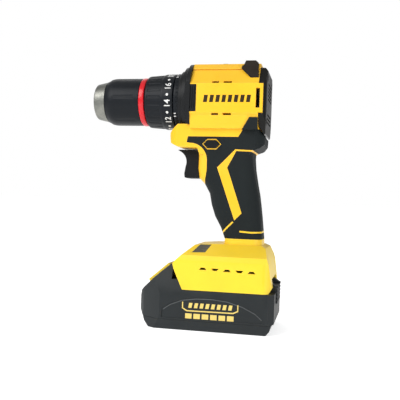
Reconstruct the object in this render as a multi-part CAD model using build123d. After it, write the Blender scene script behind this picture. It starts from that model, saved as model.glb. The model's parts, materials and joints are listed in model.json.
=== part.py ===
from build123d import *
import math
import os

# Cordless drill driver with a keyless chuck, two-speed planetary gearbox, brushless motor
# and a slide-on battery.  Millimetres.  +Z is up, the chuck points along -X, the drill is
# split on the Y = 0 plane, and the origin is on the surface that the battery stands on.

# ---------------------------------------------------------------- driving dimensions
AXIS_Z = 200.5          # height of the spindle axis
HALF_LENGTH = 86.8      # nose face to origin, and origin to the tip of the battery's rear tab
NOSE_X = -HALF_LENGTH
DRAWN_AXIS_Z = 200.5    # axis height that the side outlines of the handle are drawn for
RUN = 0.05              # radial running clearance of a shaft in its bore
GAP = 0.3               # clearance between pieces that move past each other
SEAT = 0.1              # clearance between pieces that are fixed together
WALL = 2.5              # thickness of the housing walls

# chuck
NOSE_R = 16.5           # radius of the bare steel nose at its tip
SLEEVE_R = 21.6         # outer radius of the gripping sleeve
SLEEVE_WALL = 1.5
SLEEVE_X = NOSE_X + 11.1  # front edge of the sleeve
CHUCK_REAR_X = -37.2    # rear face of the chuck
RED_RING_R = SLEEVE_R + 0.4
RED_RING_X = CHUCK_REAR_X - 5.5
RED_RING_W = 5.2
JAW_ANGLE = 15.5        # slope of the jaws to the axis, degrees
JAW_R = 5.0             # radius of a jaw's round blank
JAW_TIP_X = NOSE_X + 0.5
JAW_TIP_OFFSET = 6.0    # distance from the axis to the blank's centre at the jaw tip
JAW_LENGTH = 26.0
GRIP_R = 5.0            # bit radius the jaws hold at rest
JAW_CLOSE = 3.5         # radial closing travel from rest

# spindle and gearbox
SPINDLE_R = 7.5
THREAD_R = 6.35         # 1/2 inch spindle nose
MODULE = 0.8
RING_TEETH = 45
SUN_TEETH = 15          # stages 1 and 2
PLANET_TEETH = 15
SUN_3_TEETH = 21
PLANET_3_TEETH = 12
PLANETS = 3
TOOTH_TIP = 0.64        # addendum
TOOTH_ROOT = 0.85       # dedendum
TIP_HALF = 0.22         # half width of a tooth at its tip
ROOT_HALF = 0.75        # half width of a tooth at its root
RING_ROOT_HALF = 0.62
GEAR_W = 6.0            # face width of the planets
CARRIER_W = 3.0
PIN_R = 2.0             # planet pins of stages 1 and 2
PIN_3_R = 1.6
RING_R = 20.6           # outside of the ring gears
CASE_R = 23.2           # outside of the gear case
NOSE_TUBE_R = 14.2      # nose tube that carries the spindle bearings
BEARING_R = 12.0
SHIFT_TRAVEL = 4.0
OUTPUT_X = -2.0         # front face of the output carrier
CASE_FRONT_X = -7.0
TUBE_FRONT_X = -34.5
CLUTCH_BALLS = 6
BALL_R = 2.0

# clutch and mode rings
TORQUE_FRONT_X = -36.7
TORQUE_REAR_X = -10.2
TORQUE_FRONT_R = 23.6
TORQUE_R = 25.2
MODE_FRONT_X = -9.6
MODE_REAR_X = 1.0
MODE_R = 25.5

# motor
STATOR_R = 24.0
STATOR_BORE = 12.6
STATOR_X = 46.0
STATOR_L = 15.0
ROTOR_R = 12.2
SHAFT_R = 2.5
MOTOR_BEARING_R = 6.5
SHIELD_HALF = 0.9       # half width of the recess between a bearing's races
FAN_R = 21.0

# head of the housing
HEAD_TOP = 31.4         # flat top above the axis
HEAD_SIDE = 31.0        # half width at the side panels
HEAD_FRONT_X = 6.8
HEAD_REAR_X = 66.0
CAP_REAR_X = 72.8
BORE_R = 28.0           # hollow round the motor
KNOB_X = 30.5
KNOB_L = 4.5
KNOB_TOP = 34.3         # top of the speed knob above the axis

# handle
GRIP_HALF = 17.5        # half width of the grip
YOKE_HALF = 24.5        # half width where the grip meets the head
SKIN = 1.8              # thickness of the rubber overmould
TRIGGER_HALF = 9.0
TRIGGER_TRAVEL = 8.0
SELECTOR_TRAVEL = 3.0

# foot and battery
PACK_HALF = 38.0        # half width of the battery
FOOT_HALF = PACK_HALF - 1.0
FOOT_BASE = 35.0        # underside of the foot
PACK_TOP = FOOT_BASE - GAP
PACK_SEAM = 9.0
PACK_WALL = 2.4
TOWER_HALF = 21.0       # half width of the battery's slide-in tower
TOWER_TOP = 46.0
TOWER_X0 = 10.0
TOWER_X1 = 76.0
CELL_R = 9.2
CELL_L = 65.0
CELL_PITCH = 19.0
CELLS = 5
LATCH_HALF = 14.0
LATCH_TRAVEL = 2.5
SCREW_R = 1.5
SCREW_HEAD_R = 3.1


# ---------------------------------------------------------------- shape helpers
def face_of(points):
    return Face(Wire.make_polygon([Vector(*p) for p in points], close=True))


def prism_xz(points, y0, y1):
    face = face_of([(x, y0, z) for x, z in points])
    return Solid.extrude(face, Vector(0, y1 - y0, 0))


def prism_yz(points, x0, x1):
    face = face_of([(x0, y, z) for y, z in points])
    return Solid.extrude(face, Vector(x1 - x0, 0, 0))


def block(x0, x1, y0, y1, z0, z1):
    return prism_xz([(x0, z0), (x1, z0), (x1, z1), (x0, z1)], y0, y1)


def rounded_plan(x0, x1, half, radius, z0, z1):
    sketch = RectangleRounded(x1 - x0, 2 * half, radius)
    solid = Solid.extrude(sketch.faces()[0], Vector(0, 0, z1 - z0))
    return solid.moved(Location(((x0 + x1) / 2, 0, z0)))


def rod_x(x0, x1, r, y=0.0, z=AXIS_Z):
    return Solid.make_cylinder(r, x1 - x0, Plane((x0, y, z), z_dir=(1, 0, 0)))


def rod_y(y0, y1, r, x, z):
    return Solid.make_cylinder(r, y1 - y0, Plane((x, y0, z), z_dir=(0, 1, 0)))


def rod_z(z0, z1, r, x, y):
    return Solid.make_cylinder(r, z1 - z0, Plane((x, y, z0), z_dir=(0, 0, 1)))


def tube_x(x0, x1, r_out, r_in):
    return rod_x(x0, x1, r_out) - rod_x(x0, x1, r_in)


def turned(points):
    """Solid of revolution about the spindle axis from (x, radius) points."""
    face = face_of([(x, 0, AXIS_Z + r) for x, r in points])
    return Solid.revolve(face, 360, Axis((0, 0, AXIS_Z), (1, 0, 0)))


def about_axis(shape, degrees):
    return shape.rotate(Axis((0, 0, AXIS_Z), (1, 0, 0)), degrees)


def round_copies(shape, count, start=0.0):
    return [about_axis(shape, start + 360 / count * i) for i in range(count)]


def mirror_list(points):
    return [(y, z) for y, z in points] + [(-y, z) for y, z in reversed(points)]


def cut(shape, *tools):
    for tool in tools:
        shape = shape - tool
    return shape


def fuse(shape, *others):
    for other in others:
        shape = shape + other
    return shape


def solids_in(shape):
    if isinstance(shape, (list, tuple)):
        return [s for item in shape for s in solids_in(item)]
    return list(shape.solids())


PARTS = {}


def save(name, shape):
    PARTS[name] = Compound(solids_in(shape))
    return shape


# ---------------------------------------------------------------- gears
def tooth_points(teeth, pitch_r, tip, root, tip_half, root_half, turn):
    points = []
    for i in range(teeth):
        middle = turn + 2 * math.pi * i / teeth
        corners = (
            (pitch_r + root, -root_half),
            (pitch_r + tip, -tip_half),
            (pitch_r + tip, tip_half),
            (pitch_r + root, root_half),
        )
        for r, half in corners:
            angle = middle + half / r
            points.append((r * math.cos(angle), r * math.sin(angle)))
    return points


def gear(teeth, x0, x1, bore, turn=0.0, y=0.0, z=0.0):
    """External gear; at turn 0 a tooth points along +Z.  y and z are from the spindle axis."""
    outline = tooth_points(
        teeth, teeth * MODULE / 2, TOOTH_TIP, -TOOTH_ROOT, TIP_HALF, ROOT_HALF, turn
    )
    solid = prism_yz([(y + b, AXIS_Z + z + a) for a, b in outline], x0, x1)
    if bore:
        solid = solid - rod_x(x0 - 1, x1 + 1, bore, y, AXIS_Z + z)
    return solid


def ring_gear(x0, x1, turn, outer=RING_R):
    """Internal gear; turn is where a tooth points inwards, in radians from +Z."""
    outline = tooth_points(
        RING_TEETH, RING_TEETH * MODULE / 2, -TOOTH_TIP, TOOTH_ROOT, TIP_HALF, RING_ROOT_HALF, turn
    )
    hole = prism_yz([(b, AXIS_Z + a) for a, b in outline], x0 - 1, x1 + 1)
    return rod_x(x0, x1, outer) - hole


def planet(stage_teeth, sun_teeth, x0, pin_r, index):
    distance = (stage_teeth + sun_teeth) * MODULE / 2
    even = stage_teeth % 2 == 0
    turn = math.pi / stage_teeth if even else 0.0
    solid = gear(stage_teeth, x0, x0 + GEAR_W, pin_r + RUN, turn, 0.0, distance)
    return about_axis(solid, 360 / PLANETS * index)


def pins(distance, x0, x1, pin_r):
    return round_copies(rod_x(x0, x1, pin_r, 0, AXIS_Z + distance), PLANETS)


STAGE_DISTANCE = (SUN_TEETH + PLANET_TEETH) * MODULE / 2
STAGE_3_DISTANCE = (SUN_3_TEETH + PLANET_3_TEETH) * MODULE / 2
CARRIER_R = RING_TEETH * MODULE / 2 - TOOTH_TIP - 0.6
STEP = 0.6                                       # axial gap between neighbours in the gearbox
PLANET_3_X = OUTPUT_X + CARRIER_W + STEP
CARRIER_2_X = PLANET_3_X + GEAR_W + 2 * STEP
PLANET_2_X = CARRIER_2_X + CARRIER_W + STEP
CARRIER_1_X = PLANET_2_X + GEAR_W + 2 * STEP
PLANET_1_X = CARRIER_1_X + CARRIER_W + STEP
SHIFT_RING_X = PLANET_2_X - STEP
CASE_REAR_X = PLANET_1_X + GEAR_W + STEP
OUTPUT_CARRIER_R = RING_R - 2 * BALL_R - GAP
CLUTCH_RING_X = PLANET_3_X - STEP


def build_gearbox():
    half_pitch = math.pi / RING_TEETH
    for index in range(PLANETS):
        save(f"stage_1_planet_{index + 1}", planet(PLANET_TEETH, SUN_TEETH, PLANET_1_X, PIN_R, index))
        save(f"stage_2_planet_{index + 1}", planet(PLANET_TEETH, SUN_TEETH, PLANET_2_X, PIN_R, index))
        save(
            f"stage_3_planet_{index + 1}",
            planet(PLANET_3_TEETH, SUN_3_TEETH, PLANET_3_X, PIN_3_R, index),
        )
    # carrier 1 turns the second sun, carrier 2 turns the third sun
    sun_2 = gear(SUN_TEETH, PLANET_2_X, CARRIER_1_X, 0)
    disc_1 = rod_x(CARRIER_1_X, CARRIER_1_X + CARRIER_W, CARRIER_R)
    pins_1 = pins(STAGE_DISTANCE, CARRIER_1_X, PLANET_1_X + GEAR_W, PIN_R)
    save("carrier_1", fuse(disc_1, sun_2, *pins_1))
    sun_3 = gear(SUN_3_TEETH, PLANET_3_X, CARRIER_2_X, 0)
    disc_2 = rod_x(CARRIER_2_X, CARRIER_2_X + CARRIER_W, CARRIER_R)
    pins_2 = pins(STAGE_DISTANCE, CARRIER_2_X, PLANET_2_X + GEAR_W, PIN_R)
    save("carrier_2", fuse(disc_2, sun_3, *pins_2))
    disc_3 = rod_x(OUTPUT_X, OUTPUT_X + CARRIER_W, OUTPUT_CARRIER_R)
    pins_3 = pins(STAGE_3_DISTANCE, OUTPUT_X, PLANET_3_X + GEAR_W, PIN_3_R)
    save("output_carrier", fuse(disc_3, *pins_3))

    clutch_ring = ring_gear(CLUTCH_RING_X, CARRIER_2_X - STEP, 0.0)
    save("clutch_ring_gear", clutch_ring)
    groove = tube_x(SHIFT_RING_X + 2.6, SHIFT_RING_X + 5.0, RING_R + 1, RING_R - 0.9)
    save("shift_ring_gear", ring_gear(SHIFT_RING_X, SHIFT_RING_X + GEAR_W + 1, half_pitch) - groove)
    fork_x = SHIFT_RING_X + 3.8

    # gear case: nose tube, front wall with ball holes, drum, integral first-stage ring
    bearing_seat = BEARING_R + 0.02
    tube = tube_x(TUBE_FRONT_X, CASE_FRONT_X, NOSE_TUBE_R, bearing_seat)
    wall = tube_x(CASE_FRONT_X, CLUTCH_RING_X - GAP - 3.0, CASE_R, bearing_seat)
    drum = tube_x(CASE_FRONT_X, CASE_REAR_X, CASE_R, RING_R + SEAT)
    first_ring = ring_gear(PLANET_1_X + 0.4, CASE_REAR_X, half_pitch, RING_R + 0.6)
    flange = tube_x(CASE_REAR_X - 3.0, CASE_REAR_X, BORE_R - GAP, CASE_R - 0.5)
    case = fuse(tube, wall, drum, first_ring, flange)
    ball_hole = rod_x(CASE_FRONT_X - 1, OUTPUT_X + 2, BALL_R + RUN, 0, AXIS_Z + RING_R - BALL_R)
    case = cut(case, *round_copies(ball_hole, CLUTCH_BALLS, 30))
    pin_slot = block(
        fork_x - 1.6, fork_x + SHIFT_TRAVEL + 1.6, -CASE_R - 2, CASE_R + 2, AXIS_Z - 1.6, AXIS_Z + 1.6
    )
    save("gear_case", case - pin_slot)
    save_balls_and_clutch()

    # shift fork: an arch round the gear case with a pin through each side slot
    arch = tube_x(fork_x - 1.0, fork_x + 1.0, CASE_R + 2.4, CASE_R + GAP)
    arch = arch & block(-50, 50, -50, 50, AXIS_Z - 1.0, AXIS_Z + 50)
    tip = RING_R - 0.5
    fork_pin = block(fork_x - 0.9, fork_x + 0.9, tip, CASE_R + 1.2, AXIS_Z - 1.0, AXIS_Z + 1.0)
    post = block(fork_x - 1.0, fork_x + 1.0, -2.0, 2.0, AXIS_Z + CASE_R + 1, SLIDER_Z - SEAT)
    other_pin = fork_pin.mirror(Plane.XZ)
    save("shift_fork", fuse(arch, fork_pin, other_pin, post))

    plate = rod_x(CASE_REAR_X + SEAT, CASE_REAR_X + 2.6, BORE_R - GAP)
    boss = rod_x(CASE_REAR_X + 2.0, CASE_REAR_X + 5.6, MOTOR_BEARING_R + 1.8)
    bore = rod_x(CASE_REAR_X - 1, CASE_REAR_X + 8, SHAFT_R + 1.0)
    pocket = rod_x(CASE_REAR_X + 1.5, CASE_REAR_X + 8, MOTOR_BEARING_R + 0.02)
    save("motor_plate", cut(fuse(plate, boss), bore, pocket))


SLIDER_Z = AXIS_Z + 28.0        # underside of the speed selector's slide plate
SLIDER_T = 1.6


def save_balls_and_clutch():
    x = CLUTCH_RING_X - BALL_R - 0.05
    ball = Solid.make_sphere(BALL_R).moved(Location((x, 0, AXIS_Z + RING_R - BALL_R)))
    save("clutch_balls", round_copies(ball, CLUTCH_BALLS, 30))
    spring_front = TUBE_FRONT_X + 2.0 + 3.5 + GAP
    washer_x = CASE_FRONT_X - 1.6
    pitch = (washer_x - 2.0 - spring_front) / (CLUTCH_COILS - 1)
    spring = coil_spring(spring_front + 1.0, pitch, CLUTCH_COILS, 18.4, 1.0, AXIS_Z)
    save("clutch_spring", spring)
    washer = tube_x(washer_x, CASE_FRONT_X - 0.1, 21.0, NOSE_TUBE_R + GAP)
    save("clutch_washer", washer)
    nut_x = TUBE_FRONT_X + 2.0
    nut = tube_x(nut_x, nut_x + 3.5, TORQUE_BORE - GAP, NOSE_TUBE_R + 0.15)
    key = block(nut_x, nut_x + 3.5, -2.0, 2.0, AXIS_Z + TORQUE_BORE - 2, AXIS_Z + KEY_R)
    save("clutch_nut", fuse(nut, *round_copies(key, 3)))


def coil_spring(x0, pitch, coils, coil_r, wire_r, z):
    """Compression spring along X, drawn as closed coils joined by short straight lengths of wire."""
    spring = Solid.make_torus(coil_r, wire_r, Plane((x0, 0, z), z_dir=(1, 0, 0)))
    for i in range(1, coils):
        x = x0 + pitch * i
        coil = Solid.make_torus(coil_r, wire_r, Plane((x, 0, z), z_dir=(1, 0, 0)))
        link = rod_x(x - pitch + 0.4 * wire_r, x - 0.4 * wire_r, 0.7 * wire_r, 0, z + coil_r)
        spring = fuse(spring, coil, link)
    return spring


TORQUE_BORE = 21.8
KEY_R = TORQUE_BORE + 0.5       # tips of the nut's three keys
CLUTCH_COILS = 5


def build_clutch_rings():
    # torque ring: turned body with grip ribs in front of the numbered band
    body = turned([
        (TORQUE_FRONT_X, TORQUE_FRONT_R - 0.8),
        (TORQUE_FRONT_X + 0.8, TORQUE_FRONT_R),
        (TORQUE_REAR_X - 7, TORQUE_R),
        (TORQUE_REAR_X - 0.6, TORQUE_R),
        (TORQUE_REAR_X, TORQUE_R - 0.6),
        (TORQUE_REAR_X, TORQUE_BORE),
        (TUBE_FRONT_X + 1.2, TORQUE_BORE),
        (TUBE_FRONT_X + 1.2, NOSE_TUBE_R + 0.35),
        (TORQUE_FRONT_X, NOSE_TUBE_R + 0.35),
    ])
    ribs = 24
    groove = block(
        TORQUE_FRONT_X + 3, TORQUE_FRONT_X + 13, -1.0, 1.0, AXIS_Z + TORQUE_FRONT_R - 0.5, AXIS_Z + 30
    )
    key_half = 2.0 + GAP
    key_low = AXIS_Z + NOSE_TUBE_R + 2
    keyway = block(
        TUBE_FRONT_X + 1.2, TORQUE_REAR_X + 1, -key_half, key_half, key_low, AXIS_Z + KEY_R + GAP
    )
    body = cut(body, *round_copies(keyway, 3))
    save("torque_ring", cut(body, *round_copies(groove, ribs, 7.5)))
    mode = turned([
        (MODE_FRONT_X, MODE_R - 0.6),
        (MODE_FRONT_X + 0.6, MODE_R),
        (MODE_REAR_X, MODE_R),
        (MODE_REAR_X, CASE_R + GAP),
        (MODE_FRONT_X, CASE_R + GAP),
    ])
    save("mode_ring", mode)


# ---------------------------------------------------------------- chuck
SPINDLE_END_X = NOSE_X + 22.8
NUT_X0 = NOSE_X + 22.1
NUT_X1 = NOSE_X + 29.5
SLEEVE_BORE = SLEEVE_R - SLEEVE_WALL
JAW_RAD = math.radians(JAW_ANGLE)
JAW_BORE_END_X = NOSE_X + 36.8


def jaw_blank(tip_x, length, radius):
    """Round rod on the top jaw's sloping line, its front end at tip_x."""
    direction = Vector(math.cos(JAW_RAD), 0, math.sin(JAW_RAD))
    offset = JAW_TIP_OFFSET + (tip_x - JAW_TIP_X) * math.tan(JAW_RAD)
    plane = Plane((tip_x, 0, AXIS_Z + offset), z_dir=(direction.X, direction.Y, direction.Z))
    return Solid.make_cylinder(radius, length, plane)


def build_chuck():
    body = turned([
        (NOSE_X, 7.5),
        (NOSE_X, NOSE_R - 0.8),
        (NOSE_X + 0.8, NOSE_R),
        (SLEEVE_X - 0.4, NOSE_R + 2.2),
        (SLEEVE_X - 0.4, NOSE_R + 1.0),
        (NUT_X0 - GAP, NOSE_R + 1.0),
        (NUT_X0 - GAP, NOSE_R - 0.8),
        (NUT_X1 + GAP, NOSE_R - 0.8),
        (NUT_X1 + GAP, NOSE_R + 1.0),
        (CHUCK_REAR_X - 2.5, NOSE_R + 1.0),
        (CHUCK_REAR_X, 12.0),
        (CHUCK_REAR_X, THREAD_R + 0.02),
        (SPINDLE_END_X, THREAD_R + 0.02),
        (SPINDLE_END_X - 2.0, 7.5),
    ])
    bore = jaw_blank(JAW_TIP_X - 8, JAW_LENGTH + 30, JAW_R + RUN)
    bore = bore & block(-100, JAW_BORE_END_X, -30, 30, AXIS_Z - 30, AXIS_Z + 40)
    save("chuck_body", cut(body, *round_copies(bore, 3)))

    # top jaw: round blank, grip face of the bit's radius, pointed so that three jaws meet
    jaw = jaw_blank(JAW_TIP_X - 3, JAW_LENGTH + 3, JAW_R)
    apex = JAW_CLOSE + 0.15
    reach = 20.0
    slope = reach * math.tan(math.radians(60))
    wedge = prism_yz(
        [(0, AXIS_Z + apex), (slope, AXIS_Z + apex + reach), (-slope, AXIS_Z + apex + reach)], -120, 0
    )
    jaw = (jaw & wedge) & block(JAW_TIP_X, 0, -30, 30, AXIS_Z, AXIS_Z + 40)
    jaw = jaw - rod_x(-120, 0, GRIP_R)
    for index, one in enumerate(round_copies(jaw, 3)):
        save(f"jaw_{index + 1}", one)

    nut = turned([
        (NUT_X0, NOSE_R - 0.5),
        (NUT_X0, SLEEVE_BORE - SEAT),
        (NUT_X1, SLEEVE_BORE - SEAT),
        (NUT_X1, NOSE_R - 0.5),
    ])
    # the inside of the nut is a cone that clears the sloping jaws all round
    cone = turned([
        (NUT_X0 - 1, 0.0),
        (NUT_X0 - 1, jaw_outer(NUT_X0 - 1)),
        (NUT_X1 + 1, jaw_outer(NUT_X1 + 1)),
        (NUT_X1 + 1, 0.0),
    ])
    save("chuck_nut", cut(nut, cone))

    sleeve = turned([
        (SLEEVE_X, NOSE_R + 2.4),
        (SLEEVE_X + 3.0, SLEEVE_R),
        (RED_RING_X, SLEEVE_R),
        (RED_RING_X, SLEEVE_R - 0.9),
        (RED_RING_X + RED_RING_W, SLEEVE_R - 0.9),
        (RED_RING_X + RED_RING_W, NOSE_R + 2.0),
        (RED_RING_X + 2.0, NOSE_R + 1.0 + RUN),
        (RED_RING_X - 2.0, NOSE_R + 1.0 + RUN),
        (RED_RING_X - 2.0, SLEEVE_BORE),
        (SLEEVE_X + 4.0, SLEEVE_BORE),
        (SLEEVE_X + 2.0, NOSE_R + 1.0 + RUN),
        (SLEEVE_X, NOSE_R + 1.0 + RUN),
    ])
    flute = prism_yz(
        [(-2.6, AXIS_Z + SLEEVE_R + 2), (0, AXIS_Z + SLEEVE_R - 0.5), (2.6, AXIS_Z + SLEEVE_R + 2)],
        SLEEVE_X + 8,
        RED_RING_X - 4,
    )
    save("chuck_sleeve", cut(sleeve, *round_copies(flute, 12, 15)))
    ring = turned([
        (RED_RING_X + 0.1, SLEEVE_R - 0.9),
        (RED_RING_X + 0.1, RED_RING_R - 0.3),
        (RED_RING_X + 0.6, RED_RING_R),
        (RED_RING_X + RED_RING_W - 0.6, RED_RING_R),
        (RED_RING_X + RED_RING_W - 0.1, RED_RING_R - 0.3),
        (RED_RING_X + RED_RING_W - 0.1, SLEEVE_R - 0.9),
    ])
    save("chuck_ring", ring)


def jaw_outer(x):
    """Distance from the axis to a jaw's outer edge at x, with clearance."""
    centre = JAW_TIP_OFFSET + (x - JAW_TIP_X) * math.tan(JAW_RAD)
    return centre + JAW_R / math.cos(JAW_RAD) + 0.15


def build_spindle():
    shaft = turned([
        (SPINDLE_END_X + 0.5, 0),
        (SPINDLE_END_X + 0.5, THREAD_R - 0.6),
        (SPINDLE_END_X + 1.1, THREAD_R),
        (CHUCK_REAR_X + 0.2, THREAD_R),
        (CHUCK_REAR_X + 0.2, SPINDLE_R),
        (OUTPUT_X - SEAT, SPINDLE_R),
        (OUTPUT_X - SEAT, 0),
    ])
    save("spindle", shaft)


def bearing(x0, x1, bore, outer):
    """Ball bearing as one closed ring with a groove on each face between its races."""
    middle = (bore + outer) / 2
    ring = tube_x(x0, x1, outer, bore)
    recess = 0.16 * (x1 - x0)
    for face_x in (x0 - 0.01, x1 - recess + 0.01):
        ring = ring - tube_x(face_x, face_x + recess, middle + SHIELD_HALF, middle - SHIELD_HALF)
    return ring


# ---------------------------------------------------------------- motor
def build_motor():
    end = STATOR_X + STATOR_L
    core = tube_x(STATOR_X, end, STATOR_R, STATOR_BORE)
    slot = block(
        STATOR_X - 1, end + 1, -3.2, 3.2, AXIS_Z + STATOR_BORE + 2.2, AXIS_Z + STATOR_R - 3.0
    )
    save("stator_core", cut(core, *round_copies(slot, 6)))
    coils = []
    for turn in range(6):
        coil = block(
            STATOR_X - 3.0, end + 3.0, -2.9, 2.9, AXIS_Z + STATOR_BORE + 2.5, AXIS_Z + STATOR_R - 3.3
        )
        coils.append(about_axis(coil, 60 * turn))
    save("stator_windings", coils)
    shaft = rod_x(PLANET_1_X, SHAFT_END_X, SHAFT_R - 0.02)
    magnet = rod_x(STATOR_X - 1, end + 1, ROTOR_R)
    save("rotor", fuse(shaft, magnet))
    save("pinion", gear(SUN_TEETH, PLANET_1_X, CASE_REAR_X - GAP, SHAFT_R))
    hub = tube_x(STATOR_X - 9.6, STATOR_X - 1.6, 6.0, SHAFT_R)
    disc = tube_x(STATOR_X - 5.0, STATOR_X - 3.6, FAN_R, 5.5)
    blade = block(STATOR_X - 9.6, STATOR_X - 4.0, -0.6, 0.6, AXIS_Z + 8, AXIS_Z + FAN_R)
    blades = round_copies(blade, 11)
    save("fan", fuse(disc, hub, *blades))
    front = bearing(CASE_REAR_X + 1.6, CASE_REAR_X + 5.6, SHAFT_R, MOTOR_BEARING_R)
    rear = bearing(REAR_BEARING_X, REAR_BEARING_X + 4.0, SHAFT_R, MOTOR_BEARING_R)
    nose = bearing(TUBE_FRONT_X + 1.0, TUBE_FRONT_X + 6.0, SPINDLE_R + 0.02, BEARING_R)
    inner = bearing(CASE_FRONT_X - 6.0, CASE_FRONT_X - 1.0, SPINDLE_R + 0.02, BEARING_R)
    save("ball_bearings", [front, rear, nose, inner])


REAR_BEARING_X = 66.2
SHAFT_END_X = REAR_BEARING_X + 4.0


# ---------------------------------------------------------------- housing
def head_profile(grow=0.0):
    """Half of the head's cross section, from the top down, grown outwards by `grow`."""
    g = grow
    return [
        (15.0 + 0.5 * g, AXIS_Z + HEAD_TOP + g),
        (20.5 + 0.8 * g, AXIS_Z + 26.5),
        (21.5 + 0.8 * g, AXIS_Z + 24.0),
        (HEAD_SIDE - 1.6 + g, AXIS_Z + 13.6),
        (HEAD_SIDE + g, AXIS_Z + 11.8),
        (HEAD_SIDE + g, AXIS_Z - 13.6),
        (HEAD_SIDE - 1.6 + g, AXIS_Z - 15.6),
        (27.0 + g, AXIS_Z - 26.5 - g),
    ]


def head_block(x0, x1, grow=0.0):
    return prism_yz(mirror_list(head_profile(grow)), x0, x1)


GRIP_LOW = 80.0         # below this height the outlines belong to the foot
GRIP_HIGH = 127.0       # above this height they move with the spindle axis


def lift(z):
    """Height of a point drawn at z, once the grip is stretched to the real axis height."""
    share = min(max((z - GRIP_LOW) / (GRIP_HIGH - GRIP_LOW), 0.0), 1.0)
    return z + share * (AXIS_Z - DRAWN_AXIS_Z)


def lifted(points):
    return [(x, lift(z)) for x, z in points]


def arc(cx, cz, r, start, end, steps):
    """Points on an arc from start to end degrees, measured from +X towards +Z."""
    angles = [math.radians(start + (end - start) * i / steps) for i in range(steps + 1)]
    return [(cx + r * math.cos(a), cz + r * math.sin(a)) for a in angles]


YOKE_OUTLINE = [
    (-4.5, 178.0),
    (-13.7, 170.2),
    (-11.6, 161.6),
    (-4.7, 158.2),
    (13.0, 157.6),
    (15.0, 152.0),
    (58.0, 152.0),
    (61.2, 155.6),
    (67.6, 157.9),
    (71.2, 161.5),
    (71.8, 167.6),
    (70.4, 168.9),
    (HEAD_REAR_X - SEAT, 176.6),
    (HEAD_REAR_X - SEAT, 178.0),
]

GRIP_LEVELS = [
    # height, front, rear, half width, corner radius
    (158.0, 13.0, 61.1, YOKE_HALF - 1.5, 9.0),
    (150.0, 13.0, 61.1, 20.5, 9.0),
    (140.0, 12.4, 62.2, 18.2, 9.0),
    (131.0, 13.6, 63.9, GRIP_HALF, 9.0),
    (126.0, 18.6, 64.9, GRIP_HALF, 10.0),
    (118.0, 23.0, 66.7, GRIP_HALF, 11.0),
    (108.0, 25.0, 68.2, GRIP_HALF, 11.0),
    (98.0, 28.4, 69.5, GRIP_HALF, 11.0),
    (88.0, 34.2, 70.5, GRIP_HALF, 10.0),
    (78.5, 38.1, 71.4, GRIP_HALF + 0.5, 9.0),
    (72.0, 37.6, 71.7, GRIP_HALF + 0.5, 9.0),
]

FOOT_X0 = -2.6
FOOT_X1 = 82.8
FOOT_OUTLINE = [
    (29.1, 74.0),
    (13.9, 72.7),
    (2.6, 62.3),
    (FOOT_X0, 56.9),
    (-0.3, 50.5),
    (6.9, FOOT_BASE),
    (80.3, FOOT_BASE),
    (FOOT_X1, 39.4),
    (79.7, 60.0),
    (75.8, 72.0),
    (71.6, 74.0),
]


def grip_solid(inset):
    """Lofted grip; a positive inset shrinks it on every side."""
    rings = []
    for drawn_z, front, rear, half, radius in GRIP_LEVELS:
        z = lift(drawn_z)
        length = rear - front - 2 * inset
        sketch = RectangleRounded(length, 2 * (half - inset), radius - 0.7 * inset)
        rings.append(sketch.faces()[0].outer_wire().moved(Location(((front + rear) / 2, 0, z))))
    return Solid.make_loft(rings, ruled=True)


def inset_outline(points, inset):
    """Move an outline's corners inwards along the bisectors of its edges."""
    area = sum(a[0] * b[1] - b[0] * a[1] for a, b in zip(points, points[1:] + points[:1]))
    side = 1.0 if area > 0 else -1.0
    result = []
    for i, (x, z) in enumerate(points):
        px, pz = points[i - 1]
        nx, nz = points[(i + 1) % len(points)]
        d1 = math.hypot(x - px, z - pz)
        d2 = math.hypot(nx - x, nz - z)
        n1 = (-side * (z - pz) / d1, side * (x - px) / d1)
        n2 = (-side * (nz - z) / d2, side * (nx - x) / d2)
        k = inset / (1 + n1[0] * n2[0] + n1[1] * n2[1])
        result.append((x + k * (n1[0] + n2[0]), z + k * (n1[1] + n2[1])))
    return result


def yoke_solid(inset):
    outline = inset_outline(lifted(YOKE_OUTLINE), inset)
    solid = prism_xz(outline, -40, 40)
    half = YOKE_HALF - inset
    plan = rounded_plan(-13.7 + inset, 71.8 - inset, half, 13.0 - inset, lift(130), lift(190))
    taper = prism_yz(
        mirror_list([(half, lift(190.0)), (half - 1.0, lift(160.0)), (20.5 - inset, lift(150.0))]), -30, 90
    )
    return (solid & plan) & taper


def foot_solid(inset):
    outline = inset_outline(FOOT_OUTLINE, inset)
    solid = prism_xz(outline, -45, 45)
    half = FOOT_HALF - inset
    plan = rounded_plan(FOOT_X0 + inset, FOOT_X1 + 20, half, 2.0 - 0.5 * inset, 20, 90)
    plan = plan & rounded_plan(FOOT_X0 - 20, FOOT_X1 - inset, half, 8.0 - inset, 20, 90)
    profile = [(20.0 - inset, 74.0 - inset), (half - 1.5, 64.5 - inset), (half, 60.0 - inset), (half, 20)]
    return (solid & plan) & prism_yz(mirror_list(profile), -20, 100)


OVERMOLD_OUTLINE = [
    (4.8, 167.2),
    (49.1, 167.2),
    (58.8, 183.4),
    (90.0, 183.4),
    (90.0, 79.0),
    (30.0, 79.0),
    (15.0, 118.0),
    (19.4, 127.0),
    (21.2, 138.0),
    *arc(7.5, 147.5, 14.0, 0, 90, 8),
    (3.7, 162.0),
]

CHEVRON = [
    (63.3, 155.9),
    (46.7, 156.5),
    (30.6, 140.7),
    (47.1, 95.0),
    (53.3, 101.4),
    (39.5, 140.9),
    (47.6, 155.1),
    (63.3, 154.7),
]

# thin lines of the hard plastic that show through the rubber near the foot
GRIP_LINES = [
    [(46.4, 93.2), (45.4, 94.2), (35.0, 83.6), (36.0, 82.6)],
    [(52.0, 84.8), (62.0, 84.2), (80.0, 84.8), (80.0, 86.2), (62.0, 85.6), (52.0, 86.2)],
]

# rubber that climbs over the rear lower edge of the head
CHEEK = [(49.1, 167.2), (58.8, 183.4), (90.0, 183.4), (90.0, 167.2)]

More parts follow.
